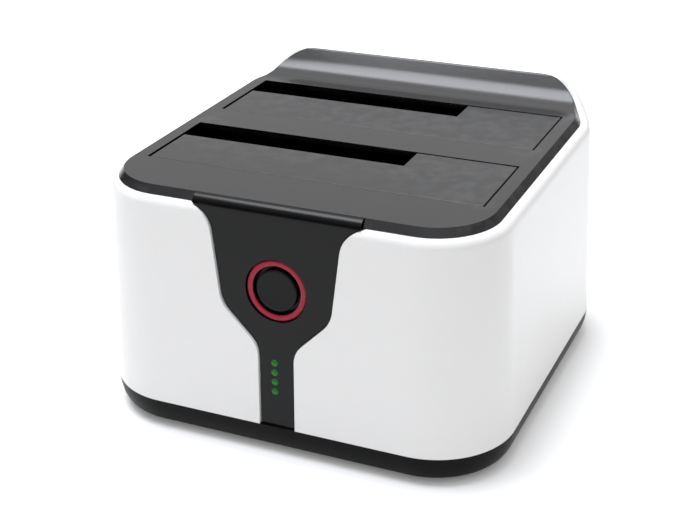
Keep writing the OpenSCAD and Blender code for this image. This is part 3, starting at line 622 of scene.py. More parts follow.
@dataclass(frozen=True)
class Housing:
    """Main sizes of the dock, in millimetres: lid_foot and lid_least for the look, the rest as in the source."""

    half_w: float = 63.2  # Half width of the shell at its lower edge.
    half_d: float = 62.8  # Half depth of the shell at its lower edge.
    corner_r: float = 24.0  # Corner radius there.
    draft: float = math.radians(2.3)  # Lean of the walls.
    base_z: float = 9.1  # Lower edge of the shell.
    rim_z: float = 73.7  # Rim of the shell in front of the ridge.
    lid_z: float = 76.0  # Flat of the lid.
    rim_inset: float = 5.594  # Plan distance from the lower edge of the shell to the lid's edge.
    lid_shift: float = 1.0  # How far the lid sits forward.
    ridge_h: float = 8.0  # Rise of the lid over the ridge.
    ridge_end: float = 55.858  # Back end of the ridge.
    rim_foot: tuple[float, float] = (43.4, 8.0)  # Start and radius of the hollow at the foot of the rim's ridge.
    lid_foot: tuple[float, float] = (42.5, 13.4)  # Start and radius of the hollow at the foot of the lid's ridge.
    ridge_crest: float = 0.8  # Radius of the ridge's crest.
    rim_rise: float = 9.8  # Rise of the rim beside the ridge.
    lid_least: float = 0.5  # Least thickness of the lid over its ledge.
    bay_half: float = 52.0  # Half width of a bay.
    bay_d: float = 31.8  # Depth of a bay.
    bay_fronts: tuple[float, float] = (-38.1, 7.7)  # Front edges of the two bays.
    hinge_drop: float = 3.0  # Hinge pins below the flat of the lid.
    hinge_back: float = 2.3  # Hinge pins behind the front edge of their bay.

    def rise(self, y: np.ndarray, height: float, foot: tuple[float, float]) -> np.ndarray:
        """Rise of the ridge: a hollow at its foot, a straight slope and a rounded crest, with level ends.

        The slope is the common tangent of the hollow's arc and the crest's arc.

        Args:
            y: Depths in millimetres.
            height: Rise at the back.
            foot: Start and radius of the hollow.

        Returns:
            The rise at each depth.
        """
        start, hollow_r = foot
        run, both = self.ridge_end - start, hollow_r + self.ridge_crest
        turn = math.asin(both / math.hypot(run, both - height)) - math.atan2(both - height, run)
        t = np.clip(y - start, 0, run)
        hollow, crest = hollow_r * math.sin(turn), self.ridge_crest * math.sin(turn)
        low = hollow_r - np.sqrt(hollow_r**2 - np.minimum(t, hollow) ** 2)
        slope = (np.clip(t, hollow, run - crest) - hollow) * math.tan(turn)
        left = np.minimum(run - t, crest)
        over = np.sqrt(self.ridge_crest**2 - left**2) - self.ridge_crest * math.cos(turn)
        return low + slope + over

    def lid_height(self, y: np.ndarray) -> np.ndarray:
        """Height of the lid's top over a depth y."""
        return self.lid_z + self.rise(y, self.ridge_h, self.lid_foot)

    def rim_height(self, y: np.ndarray) -> np.ndarray:
        """Height of the shell's rim at a depth y."""
        return self.rim_z + self.rise(y, self.rim_rise, self.rim_foot)

    def seat_height(self, y: np.ndarray) -> np.ndarray:
        """Height of the ledge that the lid rests on: the rim's, but under the lid by its least thickness."""
        return np.minimum(self.rim_height(y), self.lid_height(y) - self.lid_least)

    def pin(self, front: float) -> tuple[float, float]:
        """Depth and height of the hinge pin of the bay with this front edge."""
        return front + self.hinge_back, self.lid_z - self.hinge_drop

    def on_front(self, local: np.ndarray) -> np.ndarray:
        """Places points (x, depth, height) of the leaning front wall in the part's frame.

        Args:
            local: Across, depth into the wall and height up the wall, shape (n, 3).

        Returns:
            The points in the part's frame.
        """
        c, s = math.cos(self.draft), math.sin(self.draft)
        x, depth, height = local.T
        y = -self.half_d + depth * c + height * s
        return np.stack([x, y, self.base_z - depth * s + height * c], axis=-1)

    def turned_on_front(self, shape: Surface, height: float) -> Surface:
        """Sets a turned shape into the front wall at a height, its depth axis pointing inward."""
        x, y, depth = shape.points.T
        return Surface(self.on_front(np.stack([x, depth, height - y], axis=-1)), shape.quads, shape.caps)


@dataclass(frozen=True)
class Funnel:
    """Outline of the front panel: arcs of stem, bowl and flare joined by their common tangents."""

    stem_half: float = 5.3  # Half width of the stem.
    stem_top: float = 21.6  # Height where the stem starts to widen.
    stem_fillet: float = 8.0  # Radius between stem and bowl.
    bowl_half: float = 7.6  # Half distance between the bowl's round corners.
    bowl_z: float = 40.6  # Height of those corners.
    bowl_r: float = 9.5  # Their radius.
    flare_half: float = 28.1  # Half distance between the flares' centres.
    flare_z: float = 55.9  # Height of those centres.
    flare_r: float = 9.0  # Their radius.
    notch_half: float = 25.2  # Half width at the top.

    def half_width(self, height: np.ndarray, grow: float = 0.0) -> np.ndarray:
        """Half width at heights above the shell's lower edge.

        Args:
            height: Heights, of any shape.
            grow: Distance by which the outline is grown.

        Returns:
            Half widths of the same shape.
        """
        stem = np.array([self.stem_half + self.stem_fillet, self.stem_top])
        bowl = np.array([self.bowl_half, self.bowl_z])
        flare = np.array([self.flare_half, self.flare_z])
        down, up = bowl - stem, flare - bowl
        lower = math.atan2(down[1], down[0]) - math.asin((self.stem_fillet + self.bowl_r) / np.hypot(*down))
        upper = math.atan2(up[1], up[0]) + math.asin((self.bowl_r + self.flare_r) / np.hypot(*up))
        quarter = math.pi / 2
        arcs = (
            (stem, self.stem_fillet - grow, math.pi, lower + quarter),
            (bowl, self.bowl_r + grow, lower - quarter, upper - quarter),
            (flare, self.flare_r - grow, upper + quarter, quarter),
        )
        t = np.linspace(0, 1, 160)
        turns = [(c, r, a + (b - a) * t) for c, r, a, b in arcs]
        x = np.concatenate([c[0] + r * np.cos(a) for c, r, a in turns])
        z = np.concatenate([c[1] + r * np.sin(a) for c, r, a in turns])
        return np.interp(height, z, x)


# Sub-assemblies


@dataclass
class Assembly:
    """A sub-assembly that takes its place from the shared sizes."""

    housing: Housing  # The shared sizes.


@dataclass
class ShellSkin(Assembly):
    """White shell: a leaning wall with a rounded rim and a hidden ledge, open at the funnel."""

    funnel: Funnel  # Outline of the opening in front.
    wall: float = 2.4
    rim_w: float = 3.0  # Radius of the rim.
    ledge_w: float = 2.4  # Width of the hidden ledge.
    ledge_t: float = 2.0  # Thickness of that ledge.
    seam: float = 0.25  # Gap round the front panel.
    window_half: float = 33.0  # Half width of the window for the ports.
    window: tuple[float, float] = (1.6, 19.1)  # Lower and upper edge of that window above the shell's lower edge.
    window_rows: tuple[float, ...] = (4.5, 7.4, 10.3, 13.2, 16.1)  # Heights of the cells between them.
    back_end: float = 36.0  # First place across the back, between the corner and the window.
    soft: float = 0.5

    def stations(self) -> tuple[np.ndarray, np.ndarray, np.ndarray]:
        """Right half of the plan, from the funnel's edge round to the middle of the back.

        A point of the plan is its centre plus the corner radius along its outward direction. On
        the front flat, a share runs from 0 at the funnel to 1 at the corner.

        Returns:
            Centres (n, 2), directions (n, 2) and shares (n,).
        """
        cx, cy = self.housing.half_w - self.housing.corner_r, self.housing.half_d - self.housing.corner_r
        flat = np.linspace(0, 1, 15)[:-1]
        front = np.radians(np.linspace(-90, 0, 29))
        side = np.linspace(-cy, cy, 17)[1:-1]
        rear = np.radians(np.linspace(0, 90, 61))
        back = np.concatenate([[self.back_end], self.window_half * np.linspace(1, 0, 5)])
        angles = np.concatenate([np.full(len(flat), -math.pi / 2), front, 0 * side, rear, 0 * back + math.pi / 2])
        across = np.concatenate([np.full(len(flat) + len(front) + len(side) + len(rear), cx), back])
        deep = np.concatenate([np.full(len(flat) + len(front), -cy), side, np.full(len(rear) + len(back), cy)])
        share = np.concatenate([flat, np.ones(len(angles) - len(flat))])
        return np.stack([across, deep], -1), np.stack([np.cos(angles), np.sin(angles)], -1), share

    def sections(self) -> tuple[np.ndarray, np.ndarray, np.ndarray, np.ndarray]:
        """Insets and heights of the outer and inner skin at each station of the right half.

        Going up, the outer skin leans in by the draft, turns over the rim on a quarter circle and
        ends on the ledge, which follows the ridge. The inner skin runs beside it.

        Returns:
            Outer insets, outer heights, inner insets and inner heights, each (rows, stations).
        """
        h = self.housing
        centre, out, _ = self.stations()
        slope = math.tan(h.draft)

        def depth(inset: np.ndarray) -> np.ndarray:
            """Depth y of the plan at an inset."""
            return centre[:, 1] + (h.corner_r - inset) * out[:, 1]

        rim = h.rim_height(depth(np.full(len(out), h.rim_inset)))
        low = np.array([0, self.window[0], *self.window_rows, self.window[1]])[:, None] + 0 * rim + h.base_z
        top = rim - self.rim_w
        t = np.linspace(0, 1, 57)[1:, None]
        wall_z = np.concatenate([low, low[-1] + (top - low[-1]) * t])
        wall_in = (wall_z - h.base_z) * slope
        lean = wall_in[-1]
        a = np.radians(np.linspace(0, 90, 13))[1:, None]
        arc_in = lean + self.rim_w * (1 - np.cos(a))
        arc_z = top + self.rim_w * np.sin(a)
        ledge_in = lean + self.rim_w + self.ledge_w * np.array([[1 / 3], [2 / 3], [1.0]])
        ledge_z = h.seat_height(depth(ledge_in))
        share = a / (math.pi / 2)
        arc_back = lean + self.wall + (self.rim_w - self.wall) * share
        arc_under = top + (self.rim_w - self.ledge_t) * share
        return (
            np.concatenate([wall_in, arc_in, ledge_in]),
            np.concatenate([wall_z, arc_z, ledge_z]),
            np.concatenate([wall_in + self.wall, arc_back, ledge_in]),
            np.concatenate([wall_z, arc_under, ledge_z - self.ledge_t]),
        )

    def skin(self, inset: np.ndarray, z: np.ndarray) -> np.ndarray:
        """Points of one skin all round, right half first and then the left half back to the front.

        Args:
            inset: Insets of the right half, (rows, stations).
            z: Heights of the right half.

        Returns:
            Points of shape (rows, 2 stations - 1, 3).
        """
        centre, out, share = self.stations()
        edge = self.funnel.half_width(z - self.housing.base_z, self.seam)
        x = edge + share * (centre[:, 0] - edge) + (self.housing.corner_r - inset) * out[:, 0]
        y = centre[:, 1] + (self.housing.corner_r - inset) * out[:, 1]
        right = np.stack([x, y, z], axis=-1)
        return np.concatenate([right, (right * [-1, 1, 1])[:, -2::-1]], axis=1)

    def build(self, shop: FinishShop) -> None:
        """Makes the shell, with the window for the ports left open at the back.

        Args:
            shop: Dresses the pieces.
        """
        outer_in, outer_z, inner_in, inner_z = self.sections()
        outer, inner = self.skin(outer_in, outer_z), self.skin(inner_in, inner_z)
        quads = cells(*outer.shape[:2])
        middle = outer[:-1, :-1] / 2 + outer[1:, 1:] / 2
        up = middle[..., 2] - self.housing.base_z
        hole = (middle[..., 1] > 0) & (np.abs(middle[..., 0]) < self.window_half)
        hole &= (up > self.window[0]) & (up < self.window[1])
        solid = plate(outer.reshape(-1, 3), inner.reshape(-1, 3), quads[~hole])
        shop.dress("shell", solid, Slot.SHELL, self.soft, "housing", "outer_shell")


@dataclass
class LidPlate(Assembly):
    """Black lid: a flat with two bay openings, a sloping edge, a notch in front and a ridge at the back."""

    edge_r: float = 18.406  # Corner radius of the lid at the foot of its edge.
    flare: float = 1.6  # Slope of the edge over its full height.
    thick: float = 2.3  # Full height of the edge.
    notch_half: float = 25.45  # Half width of the notch for the front panel.
    seat: float = 0.08  # Gap under the edge.
    # Inner end, outer end and half depth of a hinge lug, and how far it runs into the plate.
    lug: tuple[float, float, float, float] = (52.3, 54.5, 1.9, 0.4)
    boss_x: float = 30.0  # Distance of the screw bosses from the middle.
    boss_ys: tuple[float, float] = (-43.9, 45.3)  # Their depths.
    # Radius and height above the rim along a boss's profile.
    boss: Profile = ((0.9, -9.7), (2.5, -9.7), (2.8, -9.4), (2.8, 0.3), (0.9, 0.3))
    undercut: float = 1.4  # Lean of the walls round the bays, away from the opening.
    # Gap, thickness, lower edge, start behind the bay's front and end above the rim of the near-black curtains
    # behind and beside each bay: painted shade that keeps the bays' mouths dark.
    shade_curtain: tuple[float, float, float, float, float] = (1.5, 0.6, 69.0, 5.0, 0.06)
    soft: float = 0.28

    def rows(self) -> tuple[np.ndarray, np.ndarray]:
        """Stations of the right-hand edge from front to back, as centre depths and angles.

        Returns:
            Centre depths and angles, each of shape (rows,).
        """
        h = self.housing
        fore = -(h.half_d - h.corner_r) - h.lid_shift
        aft = h.half_d - h.corner_r - h.lid_shift
        reach = self.edge_r - self.flare
        first, second = h.bay_fronts
        side = np.array([first, -30, -22, -14, first + h.bay_d, 0.7, second, 15.6, 23.5, 31, aft])
        marks = np.arcsin((np.array([second + h.bay_d, h.lid_foot[0]]) - aft) / reach)
        front = np.radians(np.linspace(-90, 0, 21))
        rear = np.concatenate([marks, np.linspace(marks[1], math.pi / 2, 49)[1:]])
        centre = np.concatenate([np.full(len(front), fore), side, np.full(len(rear), aft)])
        return centre, np.concatenate([front, 0 * side, rear])

    def sheets(self) -> tuple[np.ndarray, np.ndarray, np.ndarray]:
        """Top and under sheet of the lid, and the cells that stay.

        Each row runs straight across at one depth. Its height follows the ridge at that depth, and
        its ends follow the rounded outline. The under sheet ends further out, at the foot of the edge.

        Returns:
            Top points and under points, each (rows, columns, 3), and a mask of cells.
        """
        h = self.housing
        centre, angle = self.rows()
        corner_x = h.half_w - h.corner_r
        foot_y = centre + self.edge_r * np.sin(angle)
        edge = h.lid_height(foot_y) - h.seat_height(foot_y)
        reach = self.edge_r - self.flare * edge / self.thick
        y = centre + reach * np.sin(angle)
        half = corner_x + reach * np.cos(angle)
        first, second = h.bay_fronts
        beside = (y > first - NEAR) & (y < second + h.bay_d + NEAR)
        inner = np.where(beside, h.bay_half, half * h.bay_half / (corner_x + self.edge_r - self.flare))
        notch = self.notch_half / inner[0]
        g = np.array([1, 0.9, 0.8, notch, notch - 0.001, 0.5, 0.25])
        g = np.concatenate([-g, [0], g[::-1]])
        outer = np.stack([(half + inner) / 2, half], axis=-1)
        x = np.concatenate([-outer[:, ::-1], inner[:, None] * g, outer], axis=1)
        top = np.stack([x, y[:, None] + 0 * x, h.lid_height(y)[:, None] + 0 * x], axis=-1)
        under = top.copy()
        foot_x = corner_x + self.edge_r * np.cos(angle)
        under[:, 0, 0], under[:, -1, 0] = -foot_x, foot_x
        under[:, 0, 1] = under[:, -1, 1] = foot_y
        beyond = np.abs(x[0]) > self.notch_half - NEAR
        under[0, beyond, 1] = foot_y[0]
        under[-1, :, 1] = foot_y[-1]
        for bay in h.bay_fronts:
            inside = (y > bay - NEAR) & (y < bay + h.bay_d + NEAR)
            rim = np.flatnonzero(inside)
            span = np.abs(x[rim[0]]) < h.bay_half + NEAR
            under[rim[0], span, 1] -= self.undercut
            under[rim[-1], span, 1] += self.undercut
            side = np.isclose(np.abs(x), h.bay_half) & inside[:, None]
            under[side, 0] += np.sign(x[side]) * self.undercut
        under[..., 2] = h.seat_height(under[..., 1]) + self.seat
        row = (y[:-1] + y[1:]) / 2
        flat = x[np.argmax(beside)]
        column = (flat[:-1] + flat[1:]) / 2
        in_bay = np.any([(row > b) & (row < b + h.bay_d) for b in h.bay_fronts], axis=0)
        keep = ~(in_bay[:, None] & (np.abs(column) < h.bay_half))
        return top, under, keep

    def build(self, shop: FinishShop) -> None:
        """Makes the lid with its hinge lugs and screw bosses, and the near-black curtains of painted shade under it.

        Args:
            shop: Dresses the pieces.
        """
        h = self.housing
        top, under, keep = self.sheets()
        sheet = plate(top.reshape(-1, 3), under.reshape(-1, 3), cells(*top.shape[:2])[keep])
        parts = [sheet.welded()]
        near, far, half, into = self.lug
        for y, z in map(h.pin, h.bay_fronts):
            for low, high in ((-far, -near), (near, far)):
                parts.append(brick((low, y - half, z - half), (high, y + half, h.rim_z + into)))
        places = [(x, y, h.rim_z) for x in (-self.boss_x, self.boss_x) for y in self.boss_ys]
        parts.append(repeated(turned(self.boss, 32), places))
        shop.dress("lid", join(parts), Slot.LID, self.soft, "housing", "top_cover")
        # The curtains are near-black blocks of painted shade in the bays' mouths.
        shop.dress("bay_shade_curtains", self.shade_curtains(), Slot.SHADED_GUIDE, 0, "housing")

    def shade_curtains(self) -> Surface:
        """Near-black walls behind and beside each bay, as blocks: painted shade that keeps the bays' mouths dark.

        Returns:
            The closed blocks.
        """
        h = self.housing
        gap, rib, low, start, end = self.shade_curtain
        out, top = h.bay_half + gap, h.rim_z + end
        parts = []
        for bay in h.bay_fronts:
            back = bay + h.bay_d + gap
            parts.append(brick((-out, back, low), (out, back + rib, top)))
            parts += [brick((x, bay + start, low), (x + rib, back, top)) for x in (-out - rib, out)]
        return join(parts)


@dataclass
class DoorLeaf(Assembly):
    """One bay's flap door: an L-shaped leaf on two barrels, with ribs and stops under it."""

    name: str  # The door's body and node.
    front: float  # Front edge of its bay.
    left: float = -51.1  # Left end of the leaf.
    right: float = 51.5  # Right end of the leaf.
    mouth_x: float = 20.9  # Right end of the open mouth beside it.
    mouth_d: float = 11.5  # Depth of that mouth.
    front_gap: float = 0.3  # Gap at its hinged edge.
    back_gap: float = 0.7  # Gap at its free edge.
    thick: float = 2.0  # Thickness of the leaf.
    barrel_r: float = 1.9
    bore_r: float = 0.85  # Radius of the barrels' bore.
    barrel_gap: float = 0.6  # Gap from the leaf's end to a barrel.
    pocket: float = 3.95  # Half width of the pocket for the spring.
    ribs: tuple[float, ...] = (-34, -17, 17, 34)  # Places of the ribs.
    # Half width, clearance in front and behind, and height of a rib.
    rib: tuple[float, float, float] = (0.6, 1.5, 1.2)
    sunk: float = 0.3  # How far the ribs run into the leaf.
    stops: tuple[float, ...] = (28.55, 43.85)  # Places of the stops.
    # Half width, depths from the bay's back and heights from the leaf of a stop's two blocks.
    stop: tuple[tuple[float, ...], ...] = ((3.0, -4.7, -0.7, -1.9, 0.3), (2.98, -2.0, 1.0, -1.88, -0.5))
    soft: float = 0.22

    def leaf(self) -> Surface:
        """The flat leaf: three cells of a two by two grid, closed to a plate.

        Returns:
            The closed leaf.
        """
        back = self.front + self.housing.bay_d
        x, y = np.meshgrid(
            [self.left, self.mouth_x, self.right],
            [self.front + self.front_gap, back - self.mouth_d, back - self.back_gap],
        )
        top = np.stack([x.ravel(), y.ravel(), np.full(x.size, self.housing.lid_z)], axis=-1)
        return plate(top, top - [0, 0, self.thick], cells(3, 3).reshape(-1, 4)[[0, 1, 3]])

    def build(self, shop: FinishShop) -> None:
        """Makes the door as one piece that swings with its body.

        Args:
            shop: Dresses the pieces.
        """
        h = self.housing
        axis, pin_z = h.pin(self.front)
        under, back = h.lid_z - self.thick, self.front + h.bay_d
        parts = [self.leaf()]
        bore, wall, gap = self.bore_r, self.barrel_r, self.barrel_gap
        for low, high in ((self.left + gap, -self.pocket), (self.pocket, self.right - gap)):
            barrel = turned(((bore, low), (wall, low), (wall, high), (bore, high)), 40)
            barrel.points = barrel.points[:, [2, 0, 1]] + [0, axis, pin_z]
            parts.append(barrel)
        half, clear, tall = self.rib
        ends = axis + clear, back - self.mouth_d - clear
        for x in self.ribs:
            parts.append(brick((x - half, ends[0], under - tall), (x + half, ends[1], under + self.sunk)))
        for x in self.stops:
            for w, y0, y1, z0, z1 in self.stop:
                parts.append(brick((x - w, back + y0, under + z0), (x + w, back + y1, under + z1)))
        shop.dress(f"{self.name}_leaf", join(parts), Slot.DOOR, self.soft, self.name, self.name)


@dataclass
class DoorSpring(Assembly):
    """Torsion spring of a door: a leg down the well's wall, turns round the pin, a leg under the leaf."""

    door: str  # The door's body.
    front: float  # Front edge of its bay.
    wire: float = 0.25  # Radius of the wire.
    coil: float = 1.3  # Radius of the turns.
    turns: int = 4
    pitch: float = 1.05  # Distance from one turn to the next.
    leg: float = 7.0  # Length of the legs.

    def path(self) -> np.ndarray:
        """Middle of the wire: (start + pitch t, axis + coil cos a, pin + coil sin a) with a falling by the turns.

        Returns:
            Points of shape (n, 3).
        """
        axis, pin_z = self.housing.pin(self.front)
        span = self.turns * self.pitch
        t = np.linspace(0, 1, 28 * self.turns + 8)
        a = math.pi - math.radians(90 + 360 * self.turns) * t
        turns = np.stack([span * (t - 0.5), axis + self.coil * np.cos(a), pin_z + self.coil * np.sin(a)], axis=-1)
        down = np.linspace(1, 0, 8)[:-1, None]
        first = turns[0] + down * [0, 0, -self.leg]
        last = turns[-1] + down[::-1] * [0, self.leg, 0]
        return np.concatenate([first, turns, last])

    def build(self, shop: FinishShop) -> None:
        """Makes the spring, whose turns wind on between the well and the door.

        Args:
            shop: Dresses the pieces.
        """
        wire = tube(self.path(), self.wire)
        coil = shop.dress(f"{self.door}_coil", wire, Slot.STEEL, 0, None, f"{self.door}_spring")
        half = self.turns * self.pitch / 2
        start, end = (tuple(np.array([x, *self.housing.pin(self.front)]) * MM) for x in (-half, half))
        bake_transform(coil, "housing", self.door, start=start, end=end)


@dataclass
class FrontPanel(Assembly):
    """Black funnel panel: a leaning face with a curl on top and a round hole for the button."""

    funnel: Funnel  # Its outline.
    recess: float = 0.8  # Depth behind the shell's surface.
    thick: float = 2.0  # Thickness.
    curl_r: float = 3.0
    curl_end: float = -56.72  # Depth y where the curl meets the lid.
    button_z: float = 42.3  # Height of the button above the shell's lower edge.
    hole_r: float = 9.3
    band: tuple[float, float] = (29.6, 54.4)  # Heights between which the cells run round the hole.
    columns: int = 13  # Points across it.
    rings: int = 4  # Rings of points round the hole.
    soft: float = 0.7

    def half_width(self, z: np.ndarray) -> np.ndarray:
        """Half width of the panel at heights z of the part's frame, at most the notch in the lid."""
        return np.minimum(self.funnel.half_width(z - self.housing.base_z), self.funnel.notch_half)

    def face_y(self, z: np.ndarray) -> np.ndarray:
        """Depth of the leaning face at heights z."""
        return -self.housing.half_d + self.recess + (z - self.housing.base_z) * math.tan(self.housing.draft)

    def across(self, y: np.ndarray, z: np.ndarray) -> Surface:
        """Open sheet of rows from edge to edge, each at its depth and height: (s half_width(z), y, z).

        Args:
            y: Depth of each row.
            z: Height of each row.

        Returns:
            The open sheet.
        """
        x = self.half_width(z)[:, None] * np.linspace(-1, 1, self.columns)
        points = np.stack([x, y[:, None] + 0 * x, z[:, None] + 0 * x], axis=-1)
        return Surface(points.reshape(-1, 3), cells(*x.shape).reshape(-1, 4))

    def round_hole(self) -> Surface:
        """Open sheet round the hole: straight lines from its circle to the outline of the band.

        Returns:
            The open sheet.
        """
        base = self.housing.base_z
        low, high = (b + base for b in self.band)
        s = np.linspace(-1, 1, self.columns)
        z = np.linspace(low, high, 25)
        half = self.half_width(z)
        loop = np.concatenate(
            [
                np.stack([s * half[0], 0 * s + low], -1),
                np.stack([half, z], -1)[1:-1],
                np.stack([s[::-1] * half[-1], 0 * s + high], -1),
                np.stack([-half, z], -1)[-2:0:-1],
            ]
        )
        middle = np.array([0, base + self.button_z * math.cos(self.housing.draft)])
        ray = loop - middle
        circle = middle + self.hole_r * ray / np.linalg.norm(ray, axis=1, keepdims=True)
        t = np.linspace(0, 1, self.rings)[:, None, None]
        flat = circle + t * (loop - circle)
        points = np.stack([flat[..., 0], self.face_y(flat[..., 1]), flat[..., 1]], axis=-1)
        return Surface(points.reshape(-1, 3), cells(self.rings, len(loop), wrap_columns=True).reshape(-1, 4)[:, ::-1])

    def build(self, shop: FinishShop) -> None:
        """Makes the panel: the sheet and its back, set in by the thickness along the surface's own direction.

        Args:
            shop: Dresses the pieces.
        """
        h = self.housing
        curl_z = h.lid_z - self.curl_r
        curl_y = self.face_y(np.array(curl_z)) + self.curl_r
        end = math.acos((curl_y - self.curl_end) / self.curl_r)
        a = np.linspace(0, end, 13)[1:]
        below = np.linspace(h.base_z, h.base_z + self.band[0], 15)
        above = np.linspace(h.base_z + self.band[1], curl_z, 9)
        upper_y = np.concatenate([self.face_y(above), curl_y - self.curl_r * np.cos(a)])
        upper_z = np.concatenate([above, curl_z + self.curl_r * np.sin(a)])
        stem, top = self.across(self.face_y(below), below), self.across(upper_y, upper_z)
        sheet = join([stem, self.round_hole(), top]).welded()
        turn = np.arcsin(np.clip((sheet.points[:, 2] - curl_z) / self.curl_r, 0, 1))
        inward = np.stack([0 * turn, np.cos(turn), -np.sin(turn)], axis=-1)
        solid = plate(sheet.points, sheet.points + self.thick * inward, sheet.quads)
        shop.dress("funnel_panel", solid, Slot.PANEL, self.soft, "housing", "front_panel")


@dataclass
class PowerButton(Assembly):
    """Round button: a dished black cap that slides in a red ring."""

    height: float = 42.3  # Height of its middle above the shell's lower edge.
    # Radius and depth along the ring's section.
    ring: Profile = (
        (8.4, 3.4), (7.38, 1.66), (7.34, 1.52), (7.4, 1.4), (7.54, 1.32), (7.75, 1.27), (8.0, 1.25), (8.45, 1.24),
        (8.7, 1.26), (8.9, 1.34), (9.04, 1.47), (9.1, 1.65), (9.1, 2.8), (10.6, 2.8), (10.6, 4.0), (8.6, 4.0),
    )
    # Radius and depth along the cap's profile.
    cap: Profile = (
        (0.3, 1.3), (2.5, 1.3), (4.4, 1.28), (5.3, 1.24), (5.6, 1.22), (5.78, 1.23), (5.95, 1.28), (6.09, 1.37),
        (6.17, 1.49), (6.2, 1.64), (6.2, 3.5), (7.1, 3.5), (7.1, 3.8), (3.6, 3.8), (3.6, 5.1), (0.3, 5.1),
    )

    def build(self, shop: FinishShop) -> None:
        """Makes the ring in the housing and the cap on the button's body.

        Args:
            shop: Dresses the pieces.
        """
        ring = self.housing.turned_on_front(turned(self.ring, 96, hollow=True), self.height)
        shop.dress("red_ring", ring, Slot.RING, 0, "housing", "button_ring")
        cap = self.housing.turned_on_front(turned(self.cap, 80), self.height)
        shop.dress("dished_cap", cap, Slot.CAP, 0, "button", "button_cap")


@dataclass
class StatusLights(Assembly):
    """Row of green lenses down the stem of the panel, on one strip behind it."""

    across: float = -0.8  # Offset of the row from the middle.
    heights: tuple[float, ...] = (20.1, 17.1, 14.1, 11.1)  # Height of each lens above the shell's lower edge.
    # Radius and depth along the profile of a lens.
    lens: Profile = (
        (0.06, 0.34), (0.3, 0.37), (0.58, 0.44), (0.82, 0.56), (1.0, 0.72), (1.1, 0.92), (1.1, 11.4), (0.06, 11.4),
    )
    strip: tuple[float, float, float] = (1.6, 4.2, 5.6)  # Half width, front and back of the strip.

    def build(self, shop: FinishShop) -> None:
        """Makes the lenses and their strip as one piece.

        Args:
            shop: Dresses the pieces.
        """
        parts = [self.housing.turned_on_front(turned(self.lens, 32), z) for z in self.heights]
        half, front, back = self.strip
        bar = brick((-half, front, min(self.heights) - half), (half, back, max(self.heights) + half))
        parts.append(Surface(self.housing.on_front(bar.points), bar.quads))
        row = join(parts)
        row.points += [self.across, 0, 0]
        shop.dress("light_lenses", row, Slot.LIGHT, 0, "housing", "light_guide")


@dataclass
class RubberFeet:
    """Four round feet with softened lower edges."""

    x: float = 46.0  # Distance from the middle, across.
    ys: tuple[float, float] = (-43.9, 45.3)  # Depths of the front and rear pair.
    # Radius and height along the profile of a foot.
    profile: Profile = (
        (0.4, 0.12), (2.2, 0.1), (2.6, 0.0), (5.3, 0.0), (5.65, 0.06), (5.88, 0.2), (6.0, 0.45), (6.0, 1.8), (0.4, 1.8),
    )

    def build(self, shop: FinishShop) -> None:
        """Makes the feet as one piece.

        Args:
            shop: Dresses the pieces.
        """
        places = [(x, y, 0.0) for x in (-self.x, self.x) for y in self.ys]
        feet = repeated(turned(self.profile, 48), places)
        shop.dress("soft_feet", feet, Slot.RUBBER, 0, "housing", "rubber_feet")


